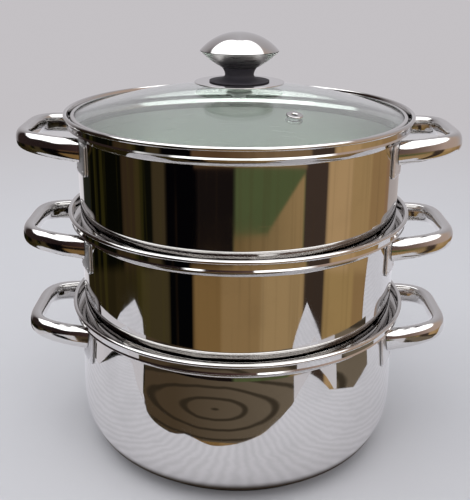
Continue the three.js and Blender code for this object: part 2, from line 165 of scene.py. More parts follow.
class HandleSizes(PropertyGroup):
    """Tube handles and their brackets."""
    span: length("Span", "Distance between a handle's ends", 81)
    reach: length("Reach", "How far a handle stands out from the wall", 39.4)
    tilt: FloatProperty(name="Tilt", description="Upward slope of a handle", default=math.radians(6.1),
                        subtype="ANGLE", unit="ROTATION")
    tube_wall: length("Tube wall", "Thickness of the tube's sheet", 1)
    end_height: length("End height", "Height of the tube at its ends", 15.7)
    middle_height: length("Middle height", "Height of the tube at its middle", 12)
    end_thickness: length("End thickness", "Thickness of the tube at its ends", 10.2)
    middle_thickness: length("Middle thickness", "Thickness of the tube at its middle", 9.4)
    flat_share: share("Flatness", "How far the tube's oval section is pushed out towards a rectangle", 0.2)
    bow_full: share("Fullness", "How far a loop is pushed out towards a rectangle", 0.115)
    hair: length("Hair", "How far the smooth tube stays inside the coarse one", 0.15)
    bracket_width: length("Bracket width", "Width of a weld bracket", 22)
    bracket_height: length("Bracket height", "Height of a weld bracket", 22)
    bracket_forward: length("Bracket forward", "How far a bracket's middle lies outside the tube's", 2)
    bracket_drop: length("Bracket drop", "Distance from the flare's foot to a bracket", 1)
    bracket_lowering: length("Bracket lowering", "How far a bracket's middle lies under the tube's", 3.8)
    bracket_thickness: length("Bracket thickness", "Sheet of a bracket", 1.2)
    bracket_corner: length("Bracket corner", "Corner radius of a bracket", 3)
    weld_radius: length("Weld radius", "Radius of a spot weld", 1.1)


class LidSizes(PropertyGroup):
    """Band, glass and vent."""
    band_reach: length("Band reach", "Band radius past the wall radius", 3.6)
    band_sheet: length("Band sheet", "Thickness of the band", 0.7)
    band_lap: length("Band lap", "Width of the band's lap on the glass", 2.5)
    band_skirt: length("Band skirt", "Depth of the band's skirt under the flare", 4)
    glass_rise: length("Glass rise", "Height of the glass over the rim", 15.2)
    glass_thickness: length("Glass thickness", "Thickness of the glass", 4.4)
    knob_hole: length("Knob hole", "Radius of the hole for the knob", 4)
    vent_x: length("Vent, across", "Place of the vent along X", 33, -200)
    vent_y: length("Vent, forward", "Place of the vent along Y", -66, -200)
    vent_hole: length("Vent hole", "Radius of the vent's hole in the glass", 3.6)
    eyelet_radius: length("Eyelet radius", "Radius of the eyelet's flanges", 5.3)
    eyelet_bore: length("Eyelet bore", "Radius of the eyelet's bore", 1.7)
    eyelet_flange: length("Eyelet flange", "Thickness of the eyelet's flanges", 1)


class KnobSizes(PropertyGroup):
    """Knob and its fixings."""
    gasket_radius: length("Gasket radius", "Washer between glass and plate", 14)
    gasket_thickness: length("Gasket thickness", "Thickness of both soft washers", 1.5)
    plate_radius: length("Plate radius", "Steel plate under the knob", 30.3)
    plate_sheet: length("Plate sheet", "Thickness of the plate", 0.8)
    neck_height: length("Neck height", "Height of the moulded neck", 9.4)
    neck_foot: length("Neck foot", "Radius of the neck at its foot", 20.2)
    neck_edge: length("Neck edge", "Height of the upright edge of the neck's foot", 0.6)
    neck_waist: length("Neck waist", "Radius of the neck at its waist", 9.7)
    neck_top: length("Neck top", "Radius of the neck at its top", 12)
    neck_waist_share: share("Neck waist height", "Height of the waist up the neck", 0.45)
    neck_foot_bend: share("Neck foot bend", "How far the foot's curve stays off the waist", 0.22)
    knob_radius: length("Knob radius", "Radius at the knob's edge", 26.4)
    knob_sheet: length("Knob sheet", "Thickness of the cup and the cap", 0.8)
    cup_depth: length("Cup depth", "Height of the lower cup", 10.4)
    cup_floor: length("Cup floor", "Radius of the cup's flat floor", 12.8)
    cup_bend_radius: share("Cup bend, outward", "Place of the cup's bend across its wall", 0.57)
    cup_bend_height: share("Cup bend, up", "Place of the cup's bend up its wall", 0.43)
    cap_rise: length("Cap rise", "Height of the upper cap", 12.2)
    insert_radius: length("Insert radius", "Threaded insert in the neck", 4)
    insert_flange_radius: length("Insert flange radius", "Flange of the insert", 7)
    insert_flange: length("Insert flange", "Thickness of the insert's flange", 1.2)
    screw_radius: length("Screw radius", "Radius of the screw", 2)
    screw_head_radius: length("Screw head radius", "Radius of the screw's head", 4.5)
    screw_head: length("Screw head", "Height of the screw's head", 2)
    washer_radius: length("Washer radius", "Steel washer under the glass", 9)
    washer_thickness: length("Washer thickness", "Thickness of the steel washer", 1)
    lower_gasket: length("Lower gasket", "Radius of the soft washer under the glass", 8)


class FinishColours(PropertyGroup):
    """Colours of the finishes."""
    steel: colour("Steel", "Polished stainless sheet", (0.62, 0.61, 0.60))
    # The satin colour is set lighter than the polished steel: painted light on the inside of the vessels
    satin: colour("Satin steel", "Spun inside of the vessels", (0.82, 0.83, 0.81))
    glass: colour("Glass", "Tint of the lid", (0.86, 0.92, 0.89))
    neck: colour("Neck", "Black moulding", (0.008, 0.007, 0.009))
    aluminium: colour("Aluminium", "Core of the base", (0.55, 0.55, 0.56))
    brass: colour("Brass", "Threaded insert", (0.62, 0.42, 0.16))
    rubber: colour("Rubber", "Soft washers", (0.7, 0.7, 0.66))


class StageSettings(PropertyGroup):
    """Floor, light and camera."""
    floor: colour("Floor", "Pale floor", (0.66, 0.65, 0.67))
    backdrop: colour("Backdrop", "Plain backdrop", (0.55, 0.53, 0.55))
    near_ground: colour("Near ground", "Pale ground that the steel mirrors", (0.88, 0.86, 0.90))
    floor_size: length("Floor size", "Side of the floor", 6000)
    lens: FloatProperty(name="Lens", description="Focal length on a 36 mm sensor", default=58.5,
                        unit="CAMERA")
    camera_x: length("Camera, across", "Place of the camera along X", -2.2, -9000)
    camera_y: length("Camera, back", "Place of the camera along Y", -549.5, -9000)
    camera_z: length("Camera, height", "Height of the camera", 340.56)
    pitch: FloatProperty(name="Pitch", description="Downward angle of the camera",
                         default=math.radians(18.62), subtype="ANGLE", unit="ROTATION")
    roll: FloatProperty(name="Roll", description="Turn of the picture", default=math.radians(0.44),
                        subtype="ANGLE", unit="ROTATION")
    shift: FloatProperty(name="Shift", description="Vertical shift of the picture", default=-0.0485)
    light_power: FloatProperty(name="Light power", description="Overhead soft light", default=9,
                               subtype="POWER", unit="POWER")


GROUPS = (("steamer_vessels", VesselSizes), ("steamer_handles", HandleSizes),
          ("steamer_lid", LidSizes), ("steamer_knob", KnobSizes),
          ("steamer_finish", FinishColours), ("steamer_stage", StageSettings))


# Lines of (radius, height) points

def arc(centre, reach, start, end, count):
    """Points on an ellipse's arc; angles in degrees."""
    angles = [math.radians(start + (end - start) * i / count) for i in range(count + 1)]
    return [(centre[0] + reach[0] * math.cos(a), centre[1] + reach[1] * math.sin(a)) for a in angles]


def bezier(start, bend, end, count):
    """Points on a quadratic curve."""
    made = []
    for i in range(count + 1):
        t = i / count
        made.append(tuple((1 - t) ** 2 * a + 2 * t * (1 - t) * b + t * t * c
                          for a, b, c in zip(start, bend, end)))
    return made


def bent(start, end, out_share, up_share, count):
    """A quadratic curve whose bend is placed by its shares of the way from start to end."""
    bend = (start[0] + (end[0] - start[0]) * out_share, start[1] + (end[1] - start[1]) * up_share)
    return bezier(start, bend, end, count)


def offset(line, distance):
    """The line moved to its left, with mitred corners."""
    normals = []
    for (r0, z0), (r1, z1) in zip(line, line[1:]):
        run = math.hypot(r1 - r0, z1 - z0)
        normals.append(((z0 - z1) / run, (r1 - r0) / run))
    moved = []
    for i, (r, z) in enumerate(line):
        before, after = normals[max(i - 1, 0)], normals[min(i, len(normals) - 1)]
        mitre = distance / (1 + before[0] * after[0] + before[1] * after[1])
        moved.append((r + mitre * (before[0] + after[0]), z + mitre * (before[1] + after[1])))
    return moved


def rounded(line, radius, closed=True, steps=5):
    """The line with its corners rounded, and a point beside each rounding to keep flats flat."""
    made, count = [], len(line)
    for i, point in enumerate(line):
        if not closed and i in (0, count - 1):
            made.append(point)
            continue
        here = Vector(point)
        back, on = Vector(line[i - 1]) - here, Vector(line[(i + 1) % count]) - here
        turn = math.pi - back.angle(on)
        if turn < CORNER_TURN or point[0] < ON_AXIS:
            made.append(point)
            continue
        reach = min(radius * math.tan(turn / 2), CORNER_SHARE * back.length, CORNER_SHARE * on.length)
        start, end = here + back.normalized() * reach, here + on.normalized() * reach
        guard = GUARD_SHARE * reach
        made.append(tuple(start + back.normalized() * guard))
        made += bezier(tuple(start), tuple(here), tuple(end), steps)
        made.append(tuple(end + on.normalized() * guard))
    return made


def level_at(line, radius):
    """Height of an outward running line at a radius."""
    for (r0, z0), (r1, z1) in zip(line, line[1:]):
        if r0 < radius <= r1:
            return z0 + (z1 - z0) * (radius - r0) / (r1 - r0)
    raise ValueError("the line doesn't reach that radius")


def radius_at(line, height):
    """Radius of a rising line at a height, and the top's radius above it."""
    if height >= line[-1][1]:
        return line[-1][0]
    for (r0, z0), (r1, z1) in zip(line, line[1:]):
        if z0 <= height <= z1 and z1 > z0:
            return r0 + (r1 - r0) * (height - z0) / (z1 - z0)
    raise ValueError("the line doesn't reach that height")


# Meshes

def mesh_piece(name, vertices, faces, materials, slots=None, crease=CREASE):
    """A shown object from plain lists, smooth but for its creases."""
    mesh = bpy.data.meshes.new(name)
    mesh.from_pydata([tuple(v) for v in vertices], [], faces)
    mesh.validate()
    for material in materials:
        mesh.materials.append(material)
    if slots:
        mesh.polygons.foreach_set("material_index", slots)
    mesh.shade_smooth()
    mesh.set_sharp_from_angle(angle=crease)
    mesh.update()
    piece = bpy.data.objects.new(name, mesh)
    bpy.context.scene.collection.objects.link(piece)
    return piece


def turned_mesh(outline, sides):
    """Vertices, faces and the outline segment of each face, for an outline turned round Z.

    The outline runs up its outer side. It closes on itself, unless it starts and ends on the axis.
    """
    vertices, rings = [], []
    for radius, height in outline:
        if radius < ON_AXIS:
            rings.append([len(vertices)] * sides)
            vertices.append((0.0, 0.0, height))
            continue
        rings.append(list(range(len(vertices), len(vertices) + sides)))
        for j in range(sides):
            angle = 2 * math.pi * j / sides
            vertices.append((radius * math.cos(angle), radius * math.sin(angle), height))
    faces, segments = [], []
    closes = outline[0][0] > ON_AXIS
    for i in range(len(outline) if closes else len(outline) - 1):
        low, high = rings[i], rings[(i + 1) % len(outline)]
        for j in range(sides):
            k = (j + 1) % sides
            corners = list(dict.fromkeys([low[j], low[k], high[k], high[j]]))
            if len(corners) > 2:
                faces.append(corners)
                segments.append(i)
    return vertices, faces, segments


def turned(name, outline, materials, sides=SMALL_SIDES, slot_of=None):
    """A piece turned round Z; slot_of gives the material slot of an outline segment."""
    vertices, faces, segments = turned_mesh(outline, sides)
    slots = [slot_of(i) for i in segments] if slot_of else None
    return mesh_piece(name, vertices, faces, materials, slots)


def place(piece, matrix):
    """Moves a piece's mesh, and leaves its object at the origin."""
    piece.data.transform(matrix)
    piece.data.update()


def settle(piece, body, replaced):
    """Hands a finished piece to the frame."""
    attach(piece, body)
    if replaced:
        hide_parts(*replaced)


def plain_mesh(piece):
    """Turns a piece and its modifiers into a plain mesh."""
    graph = bpy.context.evaluated_depsgraph_get()
    mesh = bpy.data.meshes.new_from_object(piece.evaluated_get(graph), depsgraph=graph)
    piece.modifiers.clear()
    old, piece.data = piece.data, mesh
    bpy.data.meshes.remove(old)
    mesh.name = piece.name
    return piece


def cut(piece, *tools):
    """Takes tool shapes out of a piece."""
    for tool in tools:
        bite = piece.modifiers.new("cut", "BOOLEAN")
        bite.operation, bite.object, bite.solver = "DIFFERENCE", tool, "EXACT"
    plain_mesh(piece)
    for tool in tools:
        bpy.data.objects.remove(tool)
    return piece


# Outlines of this object's pieces

class Vessels:
    """Lines of the pot and the steamers. Heights are measured from a tier's own rim."""

    def __init__(self, sizes, skirt):
        self.sizes = s = sizes
        roll_centre = (s.wall_radius + s.flare_reach - s.roll_radius, -s.roll_radius)
        self.roll = arc(roll_centre, (s.roll_radius, s.roll_radius), -135, 180, 30)
        self.collar = self.roll[0][0]
        foot, lip = (s.wall_radius, -s.flare_height), (self.collar, -s.collar_height)
        self.flare = bent(foot, lip, s.flare_bend_radius_share, s.flare_bend_height_share, 18)
        self.under = [(s.wall_radius, -s.flare_height - skirt), *self.flare]
        self.seat = offset(self.under, s.sheet + s.seat_gap)
        self.shoulder = level_at(self.seat, s.wall_radius) - s.tier_rise
        self.floor = self.shoulder - s.spigot_depth
        self.floor_radius = s.wall_radius - s.sheet - s.spigot_play - s.spigot_corner
        self.base_thickness = s.cap_sheet + s.core_thickness + 2 * s.seat_gap
        self.pot_floor_radius = s.wall_radius - s.pot_floor_inset

    def steamer_line(self):
        """Outer side of a steamer from its floor's edge to the flare."""
        s = self.sizes
        spigot = self.floor_radius + s.spigot_corner
        corner = arc((self.floor_radius, self.floor + s.spigot_corner),
                     (s.spigot_corner, s.spigot_corner), -90, 0, 10)
        ledge = [(spigot, self.shoulder - s.sheet - s.spigot_play), (s.wall_radius, self.shoulder)]
        upper = (s.wall_radius, self.shoulder + 6 * s.sheet)
        shoulder = rounded([corner[-1], *ledge, upper], 1.8 * s.sheet, closed=False, steps=6)
        return [*corner[:-1], *shoulder]

    def pot_line(self):
        """Outer side of the pot from the centre of its floor to the flare."""
        s = self.sizes
        floor = self.base_thickness - s.pot_height
        belly = s.belly_height - s.pot_height
        reach = s.belly_swell + s.pot_floor_inset
        corner = arc((self.pot_floor_radius, belly), (reach, belly - floor), -90, 0, 28)
        neck = -s.flare_height
        sides = []
        for i in range(1, 24):
            part = i / 24
            sides.append((s.wall_radius + s.belly_swell * (1 - part ** 2), belly + (neck - belly) * part))
        return [(0.0, floor), *corner, *sides]

    def outline(self, below, floor_centre):
        """Closed outline of a vessel, and the number of its outer segments and of its flared ones."""
        s = self.sizes
        foot = rounded([below[-1], self.flare[0], self.flare[2]], 1.2 * s.sheet, closed=False)[1:-1]
        ridge = [(self.collar + RIDGE_START_SHARE * s.ridge_reach, -s.collar_height),
                 (self.collar + s.ridge_reach, -s.collar_height),
                 (self.collar, s.ridge_height - s.collar_height)]
        edge = rounded([self.flare[-2], *ridge, self.roll[0]], 0.3 * s.sheet, closed=False, steps=4)[1:-1]
        outer = [*below, *foot, *self.flare[2:-1], *edge, *self.roll]
        smooth = [*below, *foot, *self.flare[2:-1], (self.collar, -s.collar_height), self.roll[0]]
        inner = list(reversed(offset(smooth, s.sheet)))
        if floor_centre:
            inner[-1] = (0.0, inner[-1][1])
        turned_flare = sum(1 for p in inner if p[0] > s.wall_radius)
        return [*outer, *inner], len(outer) + turned_flare


def outward_line(line, neck, distance):
    """A vessel's outer side below its flare, moved outwards."""
    return offset([*line, neck], -distance)


def lid_levels(vessels, sizes):
    """Radii and heights that the band and the glass share."""
    s = vessels.sizes
    band_radius = s.wall_radius + sizes.band_reach
    glass_radius = band_radius - sizes.band_sheet - s.seat_gap
    under_glass = offset(vessels.under, s.sheet + 2 * s.seat_gap + sizes.band_sheet)
    edge = level_at(under_glass, glass_radius) + sizes.glass_thickness
    return band_radius, glass_radius, edge


def dome(sizes, glass_radius, edge, radius):
    """Height of the glass's upper face."""
    return sizes.glass_rise - (sizes.glass_rise - edge) * (radius / glass_radius) ** 2


# Finishes

class Nodes:
    """Short hand for building a node tree."""

    def __init__(self, tree):
        self.tree = tree

    def add(self, kind, inputs=None, **settings):
        """A node with its settings and its inputs: values, or sockets to link from."""
        node = self.tree.nodes.new(kind)
        for name, value in settings.items():
            setattr(node, name, value)
        for name, value in (inputs or {}).items():
            if isinstance(value, bpy.types.NodeSocket):
                self.tree.links.new(value, node.inputs[name])
            else:
                node.inputs[name].default_value = value
        return node

    def math(self, operation, a, b=0.0):
        """The result of a Math node."""
        return self.add("ShaderNodeMath", {0: a, 1: b}, operation=operation).outputs[0]

    def blend(self, share_socket, first, second):
        """Two colours mixed by a share."""
        node = self.add("ShaderNodeMix", {0: share_socket, 6: first, 7: second}, data_type="RGBA")
        return node.outputs[2]

    def ramp_to(self, value, low, high, first=0.0, last=1.0):
        """A socket's value from low to high, mapped evenly from first to last."""
        return self.add("ShaderNodeMapRange", {"Value": value, "From Min": low, "From Max": high,
                                               "To Min": first, "To Max": last}).outputs[0]

    def ease(self, value, low, high):
        """A mask that rises softly from low to high."""
        return self.add("ShaderNodeMapRange", {"Value": value, "From Min": low, "From Max": high},
                        interpolation_type="SMOOTHSTEP").outputs[0]

    def outside(self, mask):
        """The rest of a mask."""
        return self.math("SUBTRACT", 1.0, mask)

    def product(self, a, b):
        """Two values multiplied."""
        return self.math("MULTIPLY", a, b)

    def noise(self, coords, scale, detail, roughness=0.5):
        """Even noise."""
        return self.add("ShaderNodeTexNoise", {"Vector": coords, "Scale": scale, "Detail": detail,
                                               "Roughness": roughness}).outputs[0]

    def object_coords(self):
        """Object coordinates."""
        return self.add("ShaderNodeTexCoord").outputs["Object"]

    def link(self, *pairs):
        """Links each pair of sockets."""
        for source, target in pairs:
            self.tree.links.new(source, target)


def rgba(three):
    """Colour with full alpha."""
    return (*three, 1.0)


def new_group(name, inputs, outputs):
    """An empty shader node group with named number sockets."""
    group = bpy.data.node_groups.new(name, "ShaderNodeTree")
    for label, default in inputs:
        socket = group.interface.new_socket(name=label, in_out="INPUT", socket_type="NodeSocketFloat")
        socket.default_value = default
    for label in outputs:
        group.interface.new_socket(name=label, in_out="OUTPUT", socket_type="NodeSocketFloat")
    nodes = Nodes(group)
    return group, nodes, nodes.add("NodeGroupInput"), nodes.add("NodeGroupOutput")


def handling_marks():
    """Smudges and hairline scratches of handled, polished metal."""
    group, nodes, given, out = new_group(
        "handling_marks", [("Smudge Scale", 22.0), ("Scratch Scale", 260.0), ("Amount", 1.0)],
        ["Smudge", "Scratch", "Height"])
    smudge_scale, scratch_scale, amount = given.outputs[0], given.outputs[1], given.outputs[2]
    coords = nodes.object_coords()
    smudge = nodes.ease(nodes.noise(coords, smudge_scale, 4.0, 0.6), 0.48, 0.78)
    stretched = nodes.add("ShaderNodeMapping", {"Vector": coords, "Rotation": (0.4, 0.9, 0.3),
                                                "Scale": (0.05, 1.0, 1.0)}).outputs[0]
    hairs = nodes.noise(stretched, scratch_scale, 2.0, 0.7)
    scratch = nodes.ramp_to(hairs, 0.62, 0.72)
    nodes.link((nodes.product(smudge, amount), out.inputs["Smudge"]),
               (nodes.product(scratch, amount), out.inputs["Scratch"]),
               (nodes.product(hairs, amount), out.inputs["Height"]))
    return group


def spun_lines():
    """Fine rings that spinning leaves round the Z axis."""
    group, nodes, given, out = new_group(
        "spun_lines", [("Line Scale", 900.0), ("Wander", 0.15)], ["Line", "Height"])
    x, y, z = nodes.add("ShaderNodeSeparateXYZ", {0: nodes.object_coords()}).outputs
    around = nodes.math("ARCTAN2", y, x)
    square = nodes.math("ADD", nodes.product(x, x), nodes.product(y, y))
    rings = nodes.add("ShaderNodeCombineXYZ", {
        "X": nodes.math("SQRT", square), "Y": z,
        "Z": nodes.product(around, nodes.product(given.outputs[1], 0.01)),
    }).outputs[0]
    line = nodes.noise(rings, given.outputs[0], 3.0, 0.65)
    nodes.link((line, out.inputs["Line"]), (line, out.inputs["Height"]))
    return group


def new_material(name):
    """An empty material with a Principled shader."""
    material = bpy.data.materials.new(name)
    material.use_nodes = True
    nodes = Nodes(material.node_tree)
    return material, nodes, material.node_tree.nodes["Principled BSDF"]


def dress(nodes, shader, tint, roughness, height, strength, depth):
    """Gives a shader its colour, its roughness and a bump of a depth in metres."""
    raised = nodes.add("ShaderNodeBump", {"Height": height, "Strength": strength, "Distance": depth})
    nodes.link((tint, shader.inputs["Base Color"]), (roughness, shader.inputs["Roughness"]),
               (raised.outputs[0], shader.inputs["Normal"]))


def steel_finish(name, base, smooth, rough, marks, amount, strength):
    """Polished steel whose smudges are a little rougher."""
    material, nodes, shader = new_material(name)
    group = nodes.add("ShaderNodeGroup", {"Amount": amount}, node_tree=marks).outputs
    shader.inputs["Metallic"].default_value = 1.0
    tint = nodes.blend(group["Smudge"], rgba(base), rgba([0.9 * c for c in base]))
    worn = nodes.math("ADD", nodes.product(group["Smudge"], rough - smooth),
                      nodes.product(group["Scratch"], 0.5 * (rough - smooth)))
    dress(nodes, shader, tint, nodes.math("ADD", worn, smooth), group["Height"], strength, 0.02 * MM)
    return material


def satin_finish(name, base, smooth, rough, lines, scale, strength):
    """Metal with turned lines."""
    material, nodes, shader = new_material(name)
    group = nodes.add("ShaderNodeGroup", {"Line Scale": scale}, node_tree=lines).outputs
    shader.inputs["Metallic"].default_value = 1.0
    tint = nodes.blend(group["Line"], rgba([0.93 * c for c in base]), rgba(base))
    roughness = nodes.ramp_to(group["Line"], 0.3, 0.7, smooth, rough)
    dress(nodes, shader, tint, roughness, group["Height"], strength, 0.03 * MM)
    return material


def moulded_finish(name, base, roughness, grain):
    """Moulded plastic or rubber with a fine grain."""
    material, nodes, shader = new_material(name)
    coords = nodes.object_coords()
    cloudy = nodes.noise(coords, 60.0, 3.0)
    tint = nodes.blend(cloudy, rgba([0.8 * c for c in base]), rgba([min(1.15 * c, 1) for c in base]))
    worn = nodes.ramp_to(cloudy, 0.0, 1.0, 0.8 * roughness, 1.25 * roughness)
    dress(nodes, shader, tint, worn, nodes.noise(coords, grain, 2.0), 0.15, 0.1 * MM)
    return material


def glass_finish(name, base, marks):
    """Clear lid glass that lets light and shadows through."""
    material, nodes, shader = new_material(name)
    group = nodes.add("ShaderNodeGroup", {"Smudge Scale": 14.0, "Amount": 1.0}, node_tree=marks)
    shader.inputs["Transmission Weight"].default_value = 1.0
    shader.inputs["IOR"].default_value = 1.45
    shader.inputs["Base Color"].default_value = rgba(base)
    clear = nodes.add("ShaderNodeBsdfTransparent", {"Color": rgba([0.5 + 0.5 * c for c in base])})
    ray = nodes.add("ShaderNodeLightPath").outputs
    soft = nodes.math("MAXIMUM", ray["Is Shadow Ray"], ray["Is Diffuse Ray"])
    mixed = nodes.add("ShaderNodeMixShader", {0: soft, 1: shader.outputs[0], 2: clear.outputs[0]})
    nodes.link((nodes.product(group.outputs["Smudge"], 0.03), shader.inputs["Roughness"]),
               (mixed.outputs[0], nodes.tree.nodes["Material Output"].inputs["Surface"]))
    return material


def finishes():
    """The materials, made once."""
    if "polished_steel" in bpy.data.materials:
        return bpy.data.materials
    colours = bpy.context.scene.steamer_finish
    marks, lines = handling_marks(), spun_lines()
    steel_finish("polished_steel", colours.steel, 0.03, 0.09, marks, 0.8, 0.05)
    steel_finish("tube_steel", colours.steel, 0.09, 0.18, marks, 1.0, 0.12)
    steel_finish("bracket_steel", [0.92 * c for c in colours.steel], 0.06, 0.14, marks, 1.0, 0.2)
    # The inner steel comes in two copies: the satin one lightened with painted light, the seat one near black
    # with painted shade
    satin_finish("satin_steel_and_painted_light", colours.satin, 0.26, 0.4, lines, 1400.0, 0.12)
    satin_finish("painted_shade_seat_steel", [0.15 * c for c in colours.steel], 0.08, 0.16, lines, 1400.0, 0.06)
    satin_finish("spun_steel", [0.6 * c for c in colours.steel], 0.22, 0.4, lines, 500.0, 0.4)
    satin_finish("raw_aluminium", colours.aluminium, 0.35, 0.5, lines, 900.0, 0.3)
    satin_finish("turned_brass", colours.brass, 0.2, 0.35, lines, 2600.0, 0.3)
    moulded_finish("black_moulding", colours.neck, 0.1, 2400.0)
    moulded_finish("soft_rubber", colours.rubber, 0.6, 1800.0)
    glass_finish("lid_glass_clear", colours.glass, marks)
    return bpy.data.materials


# Operators, one for each piece or group of like pieces

def workbench(context):
    """What the steps share: the scene, its finishes, the vessels' lines and the heights of the rims."""
    scene = context.scene
    sizes = scene.steamer_vessels
    rims = {tier: sizes.pot_height + i * sizes.tier_rise for i, tier in enumerate(TIERS)}
    return scene, finishes(), Vessels(sizes, scene.steamer_lid.band_skirt), rims


class BuildVessels(Operator):
    """Turns the pot body and the walls of both steamers"""
    bl_idname = "steamer.build_vessels"
    bl_options = {"REGISTER", "UNDO"}
    bl_label = "Vessels"

    def execute(self, context):
        """One turned sheet for each tier, polished outside, satin inside lightened with painted light, and
        near black in the seat with painted shade.
        """
        scene, finish, vessels, rims = workbench(context)
        sizes = scene.steamer_vessels
        materials = [finish["polished_steel"], finish["satin_steel_and_painted_light"], finish["painted_shade_seat_steel"]]
        for tier in TIERS:
            if tier == "pot":
                outline, polished = vessels.outline(vessels.pot_line(), True)
            else:
                outline, polished = vessels.outline(vessels.steamer_line(), False)
            raised = [(r, z + rims[tier]) for r, z in outline]
            inside = rims[tier] - sizes.flare_height - 1.0 * MM
            lower = [min(a[1], b[1]) for a, b in zip(raised, raised[1:] + raised[:1])]
            # Slot 1 is the satin inside, lightened with painted light; slot 2 is the seat, darkened with
            # painted shade
            slots = [0 if i < polished else 1 if z < inside else 2 for i, z in enumerate(lower)]
            wall = turned(f"{tier}_sheet", raised, materials, TURNED_SIDES, slots.__getitem__)
            settle(wall, tier, [f"{tier}_body"])
        return {"FINISHED"}


class BuildSteamerFloors(Operator):
    """Perforates the floors of both steamers"""
    bl_idname = "steamer.build_floors"
    bl_options = {"REGISTER", "UNDO"}
    bl_label = "Perforated floors"

    def execute(self, context):
        """The same tree on both steamers."""
        scene, finish, vessels, rims = workbench(context)
        s = scene.steamer_vessels
        rings = int((vessels.floor_radius - s.hole_border - s.hole_radius) / s.hole_pitch)
        tree = perforated_floor_tree(rings)
        for tier in TIERS[1:]:
            floor = mesh_piece(f"{tier}_floor", [], [], [finish["satin_steel_and_painted_light"]])
            steps = floor.modifiers.new("floor", "NODES")
            steps.node_group = tree
            set_inputs(steps, {
                "Radius": vessels.floor_radius, "Thickness": s.sheet,
                "Hole Radius": s.hole_radius, "Hole Pitch": s.hole_pitch,
                "Height": rims[tier] + vessels.floor, "Material": finish["satin_steel_and_painted_light"],
            })
            plain_mesh(floor).data.set_sharp_from_angle(angle=CREASE)
            settle(floor, tier, [f"{tier}_body"])
        return {"FINISHED"}


def set_inputs(modifier, values):
    """Sets a tree's inputs by their socket identifiers."""
    for item in modifier.node_group.interface.items_tree:
        if item.item_type == "SOCKET" and item.in_out == "INPUT" and item.name in values:
            modifier[item.identifier] = values[item.name]


def new_tree(name, sockets):
    """An empty Geometry Nodes tree with named inputs."""
    tree = bpy.data.node_groups.new(name, "GeometryNodeTree")
    tree.interface.new_socket(name="Geometry", in_out="INPUT", socket_type="NodeSocketGeometry")
    for label, kind in sockets:
        tree.interface.new_socket(name=label, in_out="INPUT", socket_type=kind)
    tree.interface.new_socket(name="Geometry", in_out="OUTPUT", socket_type="NodeSocketGeometry")
    nodes = Nodes(tree)
    return tree, nodes, nodes.add("NodeGroupInput").outputs, nodes.add("NodeGroupOutput").inputs[0]


def joined(nodes, sockets):
    """Geometry of several sockets together."""
    join = nodes.add("GeometryNodeJoinGeometry")
    for socket in sockets:
        nodes.link((socket, join.inputs[0]))
    return join.outputs[0]


def finished(tree, nodes, shape, given, out):
    """Ends a tree: makes its shape real and gives it its material."""
    real = nodes.add("GeometryNodeRealizeInstances", {0: shape.outputs[0]}).outputs[0]
    dressed = nodes.add("GeometryNodeSetMaterial", {0: real, "Material": given["Material"]}).outputs[0]
    nodes.link((dressed, out))
    return tree


def perforated_floor_tree(rings):
    """A flat disc with rings of round holes, six more in each ring."""
    tree, nodes, given, out = new_tree("perforated_floor", [
        ("Radius", "NodeSocketFloat"), ("Thickness", "NodeSocketFloat"),
        ("Hole Radius", "NodeSocketFloat"), ("Hole Pitch", "NodeSocketFloat"),
        ("Height", "NodeSocketFloat"), ("Material", "NodeSocketMaterial")])
    places = [nodes.add("GeometryNodeMeshLine", {"Count": 1}).outputs[0]]
    for ring in range(1, rings + 1):
        reach = nodes.product(given["Hole Pitch"], float(ring))
        circle = nodes.add("GeometryNodeMeshCircle", {"Vertices": 6 * ring, "Radius": reach})
        places.append(circle.outputs[0])
    hole, edge = (
        nodes.add("GeometryNodeCurvePrimitiveCircle", {"Resolution": sides, "Radius": given[radius]})
        for sides, radius in ((HOLE_SIDES, "Hole Radius"), (TURNED_SIDES, "Radius")))
    holes = nodes.add("GeometryNodeInstanceOnPoints", {"Points": joined(nodes, places),
                                                       "Instance": hole.outputs[0]})
    cuts = nodes.add("GeometryNodeRealizeInstances", {0: holes.outputs[0]}).outputs[0]
    sheet = nodes.add("GeometryNodeFillCurve", {0: joined(nodes, [edge.outputs[0], cuts])}).outputs[0]
    raised = nodes.add("GeometryNodeExtrudeMesh", {"Mesh": sheet, "Offset Scale": given["Thickness"],
                                                   "Individual": False}).outputs[0]
    under = nodes.add("GeometryNodeFlipFaces", {0: sheet}).outputs[0]
    closed = nodes.add("GeometryNodeMergeByDistance", {0: joined(nodes, [raised, under]),
                                                       "Distance": SAME_POINT}).outputs[0]
    shift = nodes.add("ShaderNodeCombineXYZ", {"Z": given["Height"]}).outputs[0]
    placed = nodes.add("GeometryNodeTransform", {"Geometry": closed, "Translation": shift})
    return finished(tree, nodes, placed, given, out)


class BuildBase(Operator):
    """Turns the layered base of the pot"""
    bl_idname = "steamer.build_base"
    bl_options = {"REGISTER", "UNDO"}
    bl_label = "Layered base"

    def execute(self, context):
        """An aluminium core in a steel cap."""
        scene, finish, vessels, _ = workbench(context)
        s, v = scene.steamer_vessels, vessels
        core = v.pot_floor_radius - s.core_inset
        foot = s.cap_sheet + s.seat_gap
        disc = [(0.0, foot), (core, foot), (core, foot + s.core_thickness), (0.0, foot + s.core_thickness)]
        shape = rounded(disc, CORE_EDGE, closed=False)
        piece = turned("pot_core_disc", shape, [finish["raw_aluminium"]], TURNED_SIDES)
        settle(piece, "pot", ["pot_base_core"])
        inner = core + s.seat_gap
        outer = inner + s.cap_sheet
        top = v.base_thickness - s.seat_gap
        tray = [(0.0, 0.0), (outer, 0.0), (outer, top), (inner, top), (inner, s.cap_sheet),
                (0.0, s.cap_sheet)]
        shape = rounded(tray, TRAY_EDGE, closed=False)
        piece = turned("pot_base_tray", shape, [finish["polished_steel"]], TURNED_SIDES)
        settle(piece, "pot", ["pot_base_cap"])
        return {"FINISHED"}


def tier_lines(vessels, tier):
    """A tier's outer side up to the foot of its flare."""
    s = vessels.sizes
    line = vessels.pot_line() if tier == "pot" else vessels.steamer_line()
    return line, (s.wall_radius, -s.flare_height)


